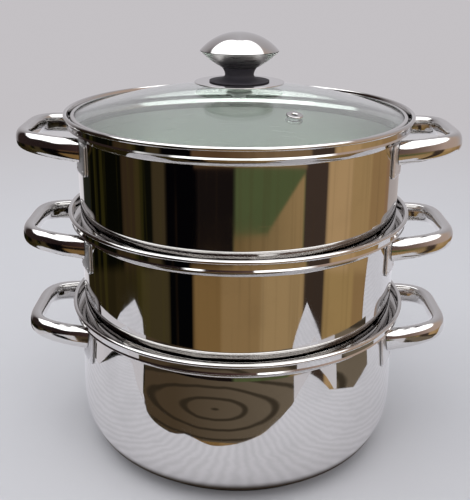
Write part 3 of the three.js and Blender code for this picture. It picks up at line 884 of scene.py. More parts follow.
def handle_level(vessels, sizes):
    """Heights of a bracket's middle and of a handle's ends under the rim."""
    s = vessels.sizes
    bracket = -s.flare_height - sizes.bracket_drop - sizes.bracket_height / 2
    return bracket, bracket + sizes.bracket_lowering


def tube(h, vessels, tier, side):
    """Vertices and faces of one closed hollow tube."""
    s = vessels.sizes
    line, neck = tier_lines(vessels, tier)
    face_line = outward_line(line, neck, 2 * s.seat_gap + h.bracket_thickness)
    root = math.sqrt(s.wall_radius ** 2 - (h.span / 2) ** 2) - 2 * MM
    reach = s.wall_radius + h.reach - h.hair - h.middle_thickness / 2 - root
    rise = math.tan(h.tilt)
    level = handle_level(vessels, h)[1]
    face = Vector((-side * math.sin(h.tilt), 0, math.cos(h.tilt)))

    def point(part, angle, inset):
        swing = math.pi * part
        swell = math.sin(swing)
        bowed = reach * (swell + h.bow_full * math.sin(3 * swing)) / (1 - h.bow_full)
        bowing = reach * (math.cos(swing) + 3 * h.bow_full * math.cos(3 * swing)) / (1 - h.bow_full)
        bow = Vector((side * (root + bowed), -h.span / 2 * math.cos(swing), level + bowed * rise))
        heading = Vector((side * bowing, h.span / 2 * swell, bowing * rise)).normalized()
        sideways = face.cross(heading).normalized()
        high = (h.end_height + (h.middle_height - h.end_height) * swell) / 2 - inset
        thick = (h.end_thickness + (h.middle_thickness - h.end_thickness) * swell) / 2 - inset
        across, up = (math.copysign(abs(part) ** (1 - h.flat_share), part)
                      for part in (math.cos(angle), math.sin(angle)))
        return bow + face * (high * up) + sideways * (thick * across)

    def start(angle, inset):
        low, high = 0.0, 0.35
        for _ in range(30):
            middle = (low + high) / 2
            p = point(middle, angle, inset)
            if math.hypot(p.x, p.y) < radius_at(face_line, p.z):
                low = middle
            else:
                high = middle
        return high

    vertices, faces = [], []
    angles = [2 * math.pi * j / TUBE_SIDES for j in range(TUBE_SIDES)]
    layers = [(inset, [start(a, inset) for a in angles]) for inset in (0.0, h.tube_wall)]
    rows = [(layers[0], i) for i in range(TUBE_STEPS + 1)]
    rows += [(layers[1], i) for i in range(TUBE_STEPS, -1, -1)]
    for (inset, starts), i in rows:
        for angle, first in zip(angles, starts):
            vertices.append(point(first + (1 - 2 * first) * i / TUBE_STEPS, angle, inset))
    for row in range(len(rows)):
        here, on = row * TUBE_SIDES, (row + 1) % len(rows) * TUBE_SIDES
        for j in range(TUBE_SIDES):
            k = (j + 1) % TUBE_SIDES
            faces.append([here + j, here + k, on + k, on + j])
    return vertices, faces


class BuildHandles(Operator):
    """Bends the six hollow tube handles"""
    bl_idname = "steamer.build_handles"
    bl_options = {"REGISTER", "UNDO"}
    bl_label = "Handles"

    def execute(self, context):
        """Each tube starts and ends on the face of a bracket."""
        scene, finish, vessels, rims = workbench(context)
        for tier in TIERS:
            for side_name, side in SIDES:
                vertices, faces = tube(scene.steamer_handles, vessels, tier, side)
                raised = [v + Vector((0, 0, rims[tier])) for v in vertices]
                piece = mesh_piece(f"{tier}_{side_name}_tube", raised, faces, [finish["tube_steel"]])
                settle(piece, tier, [f"{tier}_{side_name}_handle"])
        return {"FINISHED"}


# Spot welds across and up a bracket from its middle, as shares of its width and height
WELD_PLACE_SHARES = ((-0.32, 0.41), (0.32, 0.41), (-0.32, -0.36), (0.32, -0.36))


def plate(h, vessels, rims, tier, side, end, places):
    """Vertices and faces of one plate, bent round the wall; adds its weld places."""
    s = vessels.sizes
    line, neck = tier_lines(vessels, tier)
    back_line = outward_line(line, neck, s.seat_gap)
    level = handle_level(vessels, h)[0]
    angle = math.asin((h.span / 2 + h.bracket_forward) / s.wall_radius)
    out = Vector((side * math.cos(angle), end * math.sin(angle), 0))
    along = Vector((0, 0, 1)).cross(out)

    def on_wall(across, up, height):
        z = level + up
        radius = radius_at(back_line, z) + height
        return (out * math.sqrt(radius ** 2 - across ** 2) + along * across
                + Vector((0, 0, z + rims[tier])))

    loop = []
    half_w, half_h = h.bracket_width / 2 - h.bracket_corner, h.bracket_height / 2 - h.bracket_corner
    for quarter, (x, y) in enumerate([(1, 1), (-1, 1), (-1, -1), (1, -1)]):
        loop += arc((x * half_w, y * half_h), (h.bracket_corner, h.bracket_corner),
                    90 * quarter, 90 * quarter + 90, 6)
    count = len(loop)
    full = h.bracket_thickness
    edge = 0.35 * full
    rings = [(1.0, 0.0), (1.0, full - edge), (0.975, full - 0.3 * edge), (0.94, full), (0.7, full),
             (0.4, full)]
    vertices = [on_wall(x * k, y * k, t) for k, t in rings for x, y in loop]
    faces = []
    for row in range(len(rings) - 1):
        for j in range(count):
            n = (j + 1) % count
            faces.append([row * count + j, row * count + n, (row + 1) * count + n, (row + 1) * count + j])
    for level_row, height, order in ((len(rings) - 1, full, 1), (0, 0.0, -1)):
        centre = len(vertices)
        vertices.append(on_wall(0, 0, height))
        for j in range(count):
            n = (j + 1) % count
            faces.append([level_row * count + j, level_row * count + n, centre][::order])
    for across, up in WELD_PLACE_SHARES:
        spot = on_wall(across * h.bracket_width, up * h.bracket_height, full)
        places.append((spot, (spot - Vector((0, 0, spot.z))).normalized()))
    return vertices, faces


class BuildBrackets(Operator):
    """Presses the twelve weld brackets and their spot welds"""
    bl_idname = "steamer.build_brackets"
    bl_options = {"REGISTER", "UNDO"}
    bl_label = "Brackets and welds"

    def execute(self, context):
        """A curved plate at each end of each handle."""
        scene, finish, vessels, rims = workbench(context)
        tree = weld_tree()
        for tier in TIERS:
            places = []
            for side_name, side in SIDES:
                for end_name, end in ENDS:
                    where = f"{tier}_{side_name}_{end_name}"
                    vertices, faces = plate(scene.steamer_handles, vessels, rims, tier, side, end, places)
                    piece = mesh_piece(f"{where}_plate", vertices, faces, [finish["bracket_steel"]])
                    settle(piece, tier, [f"{where}_bracket"])
            welds = mesh_piece(f"{tier}_welds", [p for p, _ in places], [], [finish["bracket_steel"]])
            outward = welds.data.attributes.new("outward", "FLOAT_VECTOR", "POINT")
            outward.data.foreach_set("vector", [c for _, n in places for c in n])
            steps = welds.modifiers.new("welds", "NODES")
            steps.node_group = tree
            set_inputs(steps, {"Radius": scene.steamer_handles.weld_radius,
                               "Material": finish["bracket_steel"]})
            plain_mesh(welds)
            settle(welds, tier, [])
        return {"FINISHED"}


def weld_tree():
    """A low dome at each point, turned along the point's outward attribute."""
    tree, nodes, given, out = new_tree("weld_spots", [("Radius", "NodeSocketFloat"),
                                                      ("Material", "NodeSocketMaterial")])
    ball = nodes.add("GeometryNodeMeshUVSphere", {"Segments": 20, "Rings": 12, "Radius": given["Radius"]})
    flat = nodes.add("GeometryNodeTransform", {"Geometry": ball.outputs[0], "Scale": (1.0, 1.0, 0.32)})
    smooth = nodes.add("GeometryNodeSetShadeSmooth", {0: flat.outputs[0]}).outputs[0]
    outward = nodes.add("GeometryNodeInputNamedAttribute", {"Name": "outward"}, data_type="FLOAT_VECTOR")
    turn = nodes.add("FunctionNodeAlignRotationToVector", {"Vector": outward.outputs[0]}, axis="Z").outputs[0]
    spots = nodes.add("GeometryNodeInstanceOnPoints", {"Points": given["Geometry"], "Instance": smooth,
                                                       "Rotation": turn})
    return finished(tree, nodes, spots, given, out)


class BuildLidBand(Operator):
    """Presses the steel band round the glass"""
    bl_idname = "steamer.build_band"
    bl_options = {"REGISTER", "UNDO"}
    bl_label = "Lid band"

    def execute(self, context):
        """A lap over the glass, a cone on the flare and a skirt inside the wall."""
        scene, finish, vessels, rims = workbench(context)
        s, lid, v = scene.steamer_vessels, scene.steamer_lid, vessels
        band_radius, glass_radius, edge = lid_levels(v, lid)
        lap = band_radius - lid.band_lap
        top = dome(lid, glass_radius, edge, lap) + s.seat_gap + lid.band_sheet
        seat = [p for p in v.seat if p[0] < band_radius]
        corner = (band_radius, level_at(v.seat, band_radius))
        line = [*seat, corner, (band_radius, top), (lap, top)]
        line = rounded(line, BAND_EDGE, closed=False, steps=7)
        ring = [*line, *reversed(offset(line, lid.band_sheet))]
        raised = [(r, z + rims["top_steamer"]) for r, z in ring]
        piece = turned("lid_band_ring", raised, [finish["polished_steel"]], TURNED_SIDES)
        settle(piece, "lid", ["lid_band"])
        return {"FINISHED"}


class BuildLidGlass(Operator):
    """Blows the glass dome and drills its vent hole"""
    bl_idname = "steamer.build_glass"
    bl_options = {"REGISTER", "UNDO"}
    bl_label = "Lid glass"

    def execute(self, context):
        """The dome follows one rule, so a tree makes it."""
        scene, finish, vessels, rims = workbench(context)
        lid = scene.steamer_lid
        _, glass_radius, edge = lid_levels(vessels, lid)
        glass = mesh_piece("lid_glass_dome", [], [], [finish["lid_glass_clear"]])
        steps = glass.modifiers.new("dome", "NODES")
        steps.node_group = dome_tree()
        set_inputs(steps, {
            "Radius": glass_radius, "Hole Radius": lid.knob_hole, "Rise": lid.glass_rise, "Edge Height": edge,
            "Thickness": lid.glass_thickness, "Height": rims["top_steamer"],
            "Material": finish["lid_glass_clear"],
        })
        plain_mesh(glass)
        turn, spot = vent_place(lid, glass_radius, edge, rims["top_steamer"])
        depth = 2 * lid.glass_thickness
        rod = [(0.0, -depth), (lid.vent_hole, -depth), (lid.vent_hole, depth), (0.0, depth)]
        drill = turned("drill", rod, [], DRILL_SIDES)
        place(drill, Matrix.Translation(spot) @ turn.to_matrix().to_4x4())
        cut(glass, drill)
        glass.data.shade_smooth()
        glass.data.set_sharp_from_angle(angle=CREASE)
        settle(glass, "lid", ["lid_glass"])
        return {"FINISHED"}


def vent_place(lid, glass_radius, edge, rim):
    """Turn and place of the vent, square to the glass."""
    radius = math.hypot(lid.vent_x, lid.vent_y)
    slope = 2 * (lid.glass_rise - edge) * radius / glass_radius ** 2
    up = Vector((slope * lid.vent_x / radius, slope * lid.vent_y / radius, 1)).normalized()
    turn = Vector((0, 0, 1)).rotation_difference(up)
    return turn, Vector((lid.vent_x, lid.vent_y, rim + dome(lid, glass_radius, edge, radius)))


def dome_tree():
    """A round shell whose height falls with the square of the radius."""
    labels = ["Radius", "Hole Radius", "Rise", "Edge Height", "Thickness", "Height"]
    tree, nodes, given, out = new_tree("glass_dome", [(n, "NodeSocketFloat") for n in labels]
                                       + [("Material", "NodeSocketMaterial")])
    across, around = 40, TURNED_SIDES
    grid = nodes.add("GeometryNodeMeshGrid", {"Size X": 1.0, "Size Y": 1.0, "Vertices X": across + 1,
                                              "Vertices Y": around + 1}).outputs[0]
    where = nodes.add("ShaderNodeSeparateXYZ", {0: nodes.add("GeometryNodeInputPosition").outputs[0]})
    part = nodes.math("ADD", where.outputs[0], 0.5)
    angle = nodes.product(where.outputs[1], 2 * math.pi)
    span = nodes.math("SUBTRACT", given["Radius"], given["Hole Radius"])
    radius = nodes.math("ADD", given["Hole Radius"], nodes.product(part, span))
    ratio = nodes.math("DIVIDE", radius, given["Radius"])
    fall = nodes.product(nodes.math("SUBTRACT", given["Rise"], given["Edge Height"]),
                         nodes.product(ratio, ratio))
    level = nodes.math("ADD", nodes.math("SUBTRACT", given["Rise"], fall), given["Height"])
    x = nodes.product(radius, nodes.math("COSINE", angle))
    y = nodes.product(radius, nodes.math("SINE", angle))
    faces = []
    for drop in (0.0, 1.0):
        z = nodes.math("SUBTRACT", level, nodes.product(given["Thickness"], drop))
        spot = nodes.add("ShaderNodeCombineXYZ", {"X": x, "Y": y, "Z": z}).outputs[0]
        face = nodes.add("GeometryNodeSetPosition", {"Geometry": grid, "Position": spot}).outputs[0]
        faces.append(nodes.add("GeometryNodeFlipFaces", {0: face}).outputs[0] if drop else face)
    walls = []
    for row, wall_radius in ((0.0, given["Hole Radius"]), (1.0, given["Radius"])):
        strip = nodes.add("GeometryNodeMeshGrid", {"Size X": 1.0, "Size Y": 1.0, "Vertices X": 4,
                                                   "Vertices Y": around + 1}).outputs[0]
        ratio_at = nodes.math("DIVIDE", wall_radius, given["Radius"])
        fall_at = nodes.product(nodes.math("SUBTRACT", given["Rise"], given["Edge Height"]),
                                nodes.product(ratio_at, ratio_at))
        top = nodes.math("ADD", nodes.math("SUBTRACT", given["Rise"], fall_at), given["Height"])
        z = nodes.math("SUBTRACT", top, nodes.product(given["Thickness"], part))
        spot = nodes.add("ShaderNodeCombineXYZ", {
            "X": nodes.product(wall_radius, nodes.math("COSINE", angle)),
            "Y": nodes.product(wall_radius, nodes.math("SINE", angle)), "Z": z}).outputs[0]
        wall = nodes.add("GeometryNodeSetPosition", {"Geometry": strip, "Position": spot}).outputs[0]
        walls.append(wall if row else nodes.add("GeometryNodeFlipFaces", {0: wall}).outputs[0])
    whole = nodes.add("GeometryNodeMergeByDistance", {0: joined(nodes, faces + walls),
                                                      "Distance": SAME_POINT})
    return finished(tree, nodes, whole, given, out)


class BuildVentEyelet(Operator):
    """Turns the eyelet of the steam vent"""
    bl_idname = "steamer.build_eyelet"
    bl_options = {"REGISTER", "UNDO"}
    bl_label = "Vent eyelet"

    def execute(self, context):
        """A sleeve with a domed flange on each face of the glass."""
        scene, finish, vessels, rims = workbench(context)
        lid, gap = scene.steamer_lid, scene.steamer_vessels.seat_gap
        _, glass_radius, edge = lid_levels(vessels, lid)
        stem = lid.vent_hole - gap
        top = gap + lid.eyelet_flange
        bottom = -lid.glass_thickness - top
        bore, wide, flange = lid.eyelet_bore, lid.eyelet_radius, lid.eyelet_flange
        outline = [(bore, bottom), (wide, bottom), (wide, bottom + flange), (stem, bottom + flange),
                   (stem, gap), (wide, gap), (wide - 0.35 * flange, top), (bore + 0.5 * flange, top),
                   (bore, top - 0.5 * flange)]
        shape = rounded(outline, EYELET_EDGE)
        piece = turned("lid_vent_eyelet", shape, [finish["polished_steel"]], FIXING_SIDES)
        turn, spot = vent_place(lid, glass_radius, edge, rims["top_steamer"])
        place(piece, Matrix.Translation(spot) @ turn.to_matrix().to_4x4())
        settle(piece, "lid", ["vent_eyelet"])
        return {"FINISHED"}


def cross_slot(screw, k, head):
    """Presses a cross into the screw's head."""
    tools = []
    for turn in (0, 1):
        long, wide, deep = 0.55 * k.screw_head_radius, 0.11 * k.screw_head_radius, 0.6 * k.screw_head
        x, y = (long, wide) if turn == 0 else (wide, long)
        corners = [(i * x, j * y, head + h) for h in (-deep, deep)
                   for i, j in ((-1, -1), (1, -1), (1, 1), (-1, 1))]
        faces = [[3, 2, 1, 0], [4, 5, 6, 7], [0, 1, 5, 4], [1, 2, 6, 5], [2, 3, 7, 6], [3, 0, 4, 7]]
        tools.append(mesh_piece(f"slot_tool_{turn}", corners, faces, []))
    cut(screw, *tools)
    screw.data.set_sharp_from_angle(angle=CREASE)


class BuildKnob(Operator):
    """Builds the knob, its plate and its fixings"""
    bl_idname = "steamer.build_knob"
    bl_options = {"REGISTER", "UNDO"}
    bl_label = "Knob"

    def execute(self, context):
        """Stacked from the glass up, then from the glass down."""
        scene, finish, vessels, rims = workbench(context)
        k, lid, gap = scene.steamer_knob, scene.steamer_lid, scene.steamer_vessels.seat_gap
        rim = rims["top_steamer"]
        _, glass_radius, edge = lid_levels(vessels, lid)
        gasket = lid.glass_rise + gap
        plate = gasket + k.gasket_thickness + gap
        neck = plate + k.plate_sheet + gap
        cup = neck + k.neck_height + gap
        equator = cup + k.cup_depth
        bore = k.screw_radius + gap

        def add(name, node, outline, material, soft=0.25, sides=SMALL_SIDES, closed=True):
            shape = rounded(outline, soft * MM, closed=closed) if soft else outline
            raised = [(r, z + rim) for r, z in shape]
            piece = turned(name, raised, [finish[material]], sides)
            settle(piece, "lid", [node])
            return piece

        def ring(inner, outer, foot, thickness):
            return [(inner, foot), (outer, foot), (outer, foot + thickness), (inner, foot + thickness)]

        add("knob_upper_washer", "knob_gasket", ring(bore, k.gasket_radius, gasket, k.gasket_thickness),
            "soft_rubber")

        add("knob_foot_plate", "knob_plate", ring(bore, k.plate_radius, plate, k.plate_sheet),
            "polished_steel", 0.3, TURNED_SIDES)

        inner = k.insert_radius + gap
        top = neck + k.neck_height
        waist = neck + k.neck_waist_share * k.neck_height
        edge_top = neck + k.neck_edge
        bend = (k.neck_waist + (k.neck_foot - k.neck_waist) * 0.3 * k.neck_foot_bend,
                edge_top + (waist - edge_top) * 0.3 * k.neck_foot_bend)
        side = [*bezier((k.neck_foot, edge_top), bend, (k.neck_waist, waist), 14),
                *bezier((k.neck_waist, waist), (k.neck_waist, (waist + top) / 2), (k.neck_top, top), 6)[1:]]
        add("knob_neck_moulding", "knob_neck", [(inner, neck), (k.neck_foot, neck), *side, (inner, top)],
            "black_moulding", 0.15)

        wall = bent((k.cup_floor, cup), (k.knob_radius, equator), k.cup_bend_radius, k.cup_bend_height, 18)
        line = [(inner, cup), *wall]
        inside = list(reversed(offset(line, k.knob_sheet)))
        inside[0] = (k.knob_radius - k.knob_sheet, equator)
        inside[-1] = (inner, cup + k.knob_sheet)
        add("knob_lower_cup", "knob_cup", [*line, *inside], "spun_steel", 0, KNOB_SIDES)

        base = equator + gap
        ball = (k.knob_radius ** 2 + k.cap_rise ** 2) / (2 * k.cap_rise)
        low = math.degrees(math.asin((ball - k.cap_rise) / ball))
        centre = base + k.cap_rise - ball
        outer = arc((0, centre), (ball, ball), low, 90, 30)
        outer[-1] = (0.0, base + k.cap_rise)
        small = ball - k.knob_sheet
        inner_low = math.degrees(math.asin((ball - k.cap_rise) / small))
        hollow = arc((0, centre), (small, small), 90, inner_low, 24)
        hollow[0] = (0.0, base + k.cap_rise - k.knob_sheet)
        add("knob_upper_cap", "knob_cap", [*outer, *hollow], "polished_steel", 0, KNOB_SIDES)

        flange = cup + k.knob_sheet + gap
        add("knob_thread_insert", "knob_insert",
            [(bore, neck), (k.insert_radius, neck), (k.insert_radius, flange),
             (k.insert_flange_radius, flange),
             (k.insert_flange_radius, flange + k.insert_flange), (bore, flange + k.insert_flange)],
            "turned_brass", 0.15)

        soft = dome(lid, glass_radius, edge, k.lower_gasket) - lid.glass_thickness - gap - k.gasket_thickness
        washer = soft - gap - k.washer_thickness
        head_top = washer - gap
        head = head_top - k.screw_head
        add("knob_lower_washer", "knob_lower_gasket", ring(bore, k.lower_gasket, soft, k.gasket_thickness),
            "soft_rubber")
        add("knob_steel_washer", "knob_washer", ring(bore, k.washer_radius, washer, k.washer_thickness),
            "bracket_steel")
        tip = cup + k.knob_sheet
        screw = add("knob_fixing_screw", "knob_screw",
                    [(0.0, head), (k.screw_head_radius, head), (k.screw_head_radius, head_top),
                     (k.screw_radius, head_top), (k.screw_radius, tip), (0.0, tip)],
                    "bracket_steel", 0.5, FIXING_SIDES, closed=False)
        cross_slot(screw, k, rim + head)
        return {"FINISHED"}


def distance(nodes, coords):
    """Distance of a shading point from the origin of its coordinates."""
    return nodes.add("ShaderNodeVectorMath", {0: coords}, operation="LENGTH").outputs["Value"]


def lay_floor(stage):
    """A plain floor that fades into the backdrop, and the near ground that polished steel mirrors."""
    material, nodes, shader = new_material("pale_floor")
    coords = nodes.object_coords()
    cloudy = nodes.noise(coords, 7.0, 5.0)
    tint = nodes.blend(cloudy, rgba([0.95 * c for c in stage.floor]), rgba(stage.floor))
    far = nodes.ease(distance(nodes, coords), FADE_START, FADE_END)
    nodes.link((nodes.blend(far, tint, BLACK), shader.inputs["Base Color"]),
               (nodes.blend(far, BLACK, rgba(stage.backdrop)), shader.inputs["Emission Color"]))
    shader.inputs["Emission Strength"].default_value = 1.0
    shader.inputs["Specular IOR Level"].default_value = 0.0
    half = stage.floor_size / 2
    corners = [(-half, -half), (half, -half), (half, half), (-half, half)]
    floor = mesh_piece("floor", [(x, y, FLOOR_LEVEL) for x, y in corners], [[0, 1, 2, 3]], [material])
    floor.visible_glossy = False
    near = near_ground(pale_ground(stage))
    pale, brown = glowing("mirrored_pale", tone(*PALE)), banded_screen()
    screens = [screen(name, start, end, brown if dark else pale) for name, start, end, dark in SCREENS]
    for piece in (near, *screens):
        piece.visible_camera = piece.visible_diffuse = False
        piece.visible_shadow = piece.visible_transmission = False


def reach_at(azimuth):
    """How far the near ground reaches at an azimuth, rounded where it comes close."""
    last = len(NEAR_REACH) - 1
    for i, ((a0, r0), (a1, r1)) in enumerate(zip(NEAR_REACH, NEAR_REACH[1:])):
        if a0 <= azimuth <= a1:
            part = (azimuth - a0) / (a1 - a0)
            rise = r1 - r0
            if max(r0, r1) > ROUNDED_UNDER:
                return r0 + rise * part
            before, after = NEAR_REACH[max(i - 1, 0)], NEAR_REACH[min(i + 2, last)]
            leave = (r1 - before[1]) / (a1 - before[0]) * (a1 - a0)
            arrive = (after[1] - r0) / (after[0] - a0) * (a1 - a0)
            bow, twist = 3 * rise - 2 * leave - arrive, leave + arrive - 2 * rise
            return r0 + part * (leave + part * (bow + part * twist))
    raise ValueError("azimuth out of range")


def beside(azimuth, reach):
    """Place on the floor at an azimuth in degrees from the front, and a reach."""
    angle = math.radians(azimuth)
    return reach * math.sin(angle), -reach * math.cos(angle)


def near_ground(material):
    """Flat ground with a point for each degree of azimuth."""
    edge = [(*beside(azimuth, reach_at(azimuth)), NEAR_LEVEL) for azimuth in range(-180, 180)]
    return mesh_piece("near_floor", edge, [list(range(len(edge)))], [material])


def screen(name, start, end, material):
    """A low upright strip between two azimuths, whose foot hides none of the near ground."""
    points = []
    for azimuth in range(start, end + 1):
        reach = reach_at(azimuth)
        leaving = LEAVE_HEIGHT + LEAVE_SLOPE * (reach - LEAST_REACH)
        foot = max(NEAR_LEVEL, leaving * (reach - SCREEN_REACH) / (reach - LEAVE_RADIUS))
        x, y = beside(SCREEN_TURN_SHARE * azimuth, SCREEN_REACH)
        points += [(x, y, foot), (x, y, SCREEN_TOP)]
    faces = [[i, i + 2, i + 3, i + 1] for i in range(0, len(points) - 2, 2)]
    return mesh_piece(name, points, faces, [material])


def pale_ground(stage):
    """Pale ground with faint waves, and a painted shadow under the pot's foot."""
    material, nodes, shader = new_material("mirrored_pale_ground")
    coords = nodes.object_coords()
    cloudy = nodes.noise(coords, 30.0, 6.0)
    waves = nodes.add("ShaderNodeTexWave", {"Vector": coords, "Scale": 26.0, "Distortion": 3.0, "Detail": 3.0,
                                            "Detail Scale": 2.0}).outputs[1]
    mixed = nodes.product(nodes.math("ADD", cloudy, waves), 0.5)
    tint = nodes.blend(mixed, rgba([0.8 * c for c in stage.near_ground]), rgba(stage.near_ground))
    open_share = nodes.ease(distance(nodes, coords), FOOT_SHADE_START, FOOT_SHADE_END)
    # The dark tone under the foot is a painted shadow
    nodes.link((nodes.blend(open_share, tone(80, 68, 58), tint), shader.inputs["Base Color"]))
    shader.inputs["Roughness"].default_value = 0.9
    return material


def banded_screen():
    """Brown with nested darker bands."""
    material = glowing("mirrored_brown", BLACK)
    nodes, shader = Nodes(material.node_tree), material.node_tree.nodes["Principled BSDF"]
    coords = nodes.object_coords()
    across, up = BANDS_PER_METRE
    shift = (-across * BANDS_MIDDLE[0], 0.0, -up * BANDS_MIDDLE[1])
    moved = nodes.add("ShaderNodeMapping", {"Vector": coords, "Location": shift,
                                            "Scale": (across, 0.0, up)}).outputs[0]
    wander = nodes.noise(coords, 14.0, 3.0)
    turn = nodes.math("ADD", nodes.product(distance(nodes, moved), 2 * math.pi), nodes.product(wander, 3.0))
    dark = nodes.ease(nodes.math("SINE", turn), 0.45, 1.0)
    parts = nodes.add("ShaderNodeSeparateXYZ", {0: coords}).outputs
    right = nodes.ramp_to(parts[0], -0.1, 0.1)
    base = nodes.blend(right, tone(68, 57, 44), tone(100, 90, 77))
    tint = nodes.blend(nodes.product(dark, 0.8), base, tone(40, 35, 28))
    nodes.link((tint, shader.inputs["Emission Color"]))
    return material


def glowing(name, shade):
    """A material that only gives off its shade, as bright as the room."""
    material, _, shader = new_material(name)
    shader.inputs["Base Color"].default_value = BLACK
    shader.inputs["Specular IOR Level"].default_value = 0.0
    shader.inputs["Emission Color"].default_value = shade
    shader.inputs["Emission Strength"].default_value = ROOM_GAIN
    return material


def hang_light(stage):
    """A large soft light overhead."""
    data = bpy.data.lights.new("overhead", "AREA")
    data.shape, data.size, data.size_y = "RECTANGLE", *LAMP_SIDES
    data.energy = stage.light_power
    lamp = bpy.data.objects.new("overhead", data)
    lamp.location = LAMP_PLACE
    lamp.rotation_euler = (Vector(LAMP_AIM) - lamp.location).to_track_quat("-Z", "Y").to_euler()
    lamp.visible_camera = lamp.visible_glossy = False
    bpy.context.scene.collection.objects.link(lamp)


def make_surroundings(stage):
    """A plain backdrop, an even soft light, and the room that the steel mirrors."""
    world = bpy.data.worlds.new("soft_room")
    bpy.context.scene.world = world
    world.use_nodes = True
    nodes = Nodes(world.node_tree)
    world.node_tree.nodes.clear()
    room = room_colour(nodes)
    ray = nodes.add("ShaderNodeLightPath").outputs
    backdrop = nodes.add("ShaderNodeBackground", {"Color": rgba(stage.backdrop), "Strength": 1.0})
    even = nodes.add("ShaderNodeBackground", {"Color": EVEN_LIGHT, "Strength": EVEN_STRENGTH})
    mirrored = nodes.add("ShaderNodeBackground", {"Color": room, "Strength": ROOM_GAIN})
    bounced = nodes.math("GREATER_THAN", ray["Glossy Depth"], 0.5)
    first = nodes.add("ShaderNodeMixShader", {0: bounced, 1: backdrop.outputs[0], 2: mirrored.outputs[0]})
    second = nodes.add("ShaderNodeMixShader", {0: ray["Is Diffuse Ray"], 1: first.outputs[0],
                                               2: even.outputs[0]})
    output = nodes.add("ShaderNodeOutputWorld")
    nodes.link((second.outputs[0], output.inputs["Surface"]))


def tone(*values):
    """A linear colour from its 8-bit screen values."""
    return rgba([(c / 255) ** DISPLAY_GAMMA for c in values])


class Room:
    """Colours of the mirrored room by azimuth and height in degrees."""

    def __init__(self, nodes):
        self.nodes = nodes
        spot = nodes.add("ShaderNodeTexCoord").outputs["Generated"]
        x, y, z = nodes.add("ShaderNodeSeparateXYZ", {0: spot}).outputs
        to_degrees = math.degrees(1)
        self.azimuth = nodes.product(nodes.math("ARCTAN2", x, nodes.product(y, -1.0)), to_degrees)
        self.height = nodes.product(nodes.math("ARCSINE", z), to_degrees)
        spot = nodes.add("ShaderNodeCombineXYZ", {"X": nodes.product(self.azimuth, 0.16),
                                                  "Y": nodes.product(self.height, 0.03)}).outputs[0]
        self.streaks = nodes.ease(nodes.noise(spot, 1.0, 5.0), 0.52, 0.66)

    def ramp(self, stops):
        """A colour ramp over the azimuth."""
        node = self.nodes.add("ShaderNodeValToRGB", {0: self.nodes.ramp_to(self.azimuth, -180.0, 180.0)})
        elements = node.color_ramp.elements
        for _ in range(len(stops) - 2):
            elements.new(0.5)
        for element, (degrees, shade) in zip(elements, stops):
            element.position = (degrees + 180) / 360
            element.color = shade
        return node.outputs[0]

    def fade(self, *stops):
        """Tones that fade into each other from azimuth to azimuth."""
        return self.ramp([(azimuth, tone(*values)) for azimuth, values in stops])

    def steps(self, *zones, soft=0.9):
        """Zones that each hold their tone from an azimuth up to the next one's."""
        stops = []
        for i, (start, values) in enumerate(zones):
            end = zones[i + 1][0] if i + 1 < len(zones) else 180
            low = start + soft if i else start
            high = end - soft if i + 1 < len(zones) else end
            stops += [(low, values), (high, values)]
        return self.fade(*stops)

    def above(self, heights, soft):
        """A mask of what lies above a line of (azimuth, height) points."""
        lowest, reach = -60, 150
        line = self.ramp([(a, rgba([(h - lowest) / reach] * 3)) for a, h in heights])
        level = self.nodes.add("ShaderNodeSeparateColor", {0: line}).outputs[0]
        edge = self.nodes.math("ADD", self.nodes.product(level, reach), lowest)
        return self.nodes.ease(self.nodes.math("SUBTRACT", self.height, edge), -soft, soft)

    def over(self, height, soft):
        """A mask of what lies above one height."""
        return self.nodes.ease(self.height, height - soft, height + soft)

    def beyond(self, azimuth, soft=1.0):
        """A mask of what lies to the right of an azimuth."""
        return self.nodes.ramp_to(self.azimuth, azimuth - soft, azimuth + soft)

    def between(self, left, right):
        """A mask of what lies between two azimuths."""
        return self.nodes.product(self.beyond(left), self.nodes.outside(self.beyond(right)))


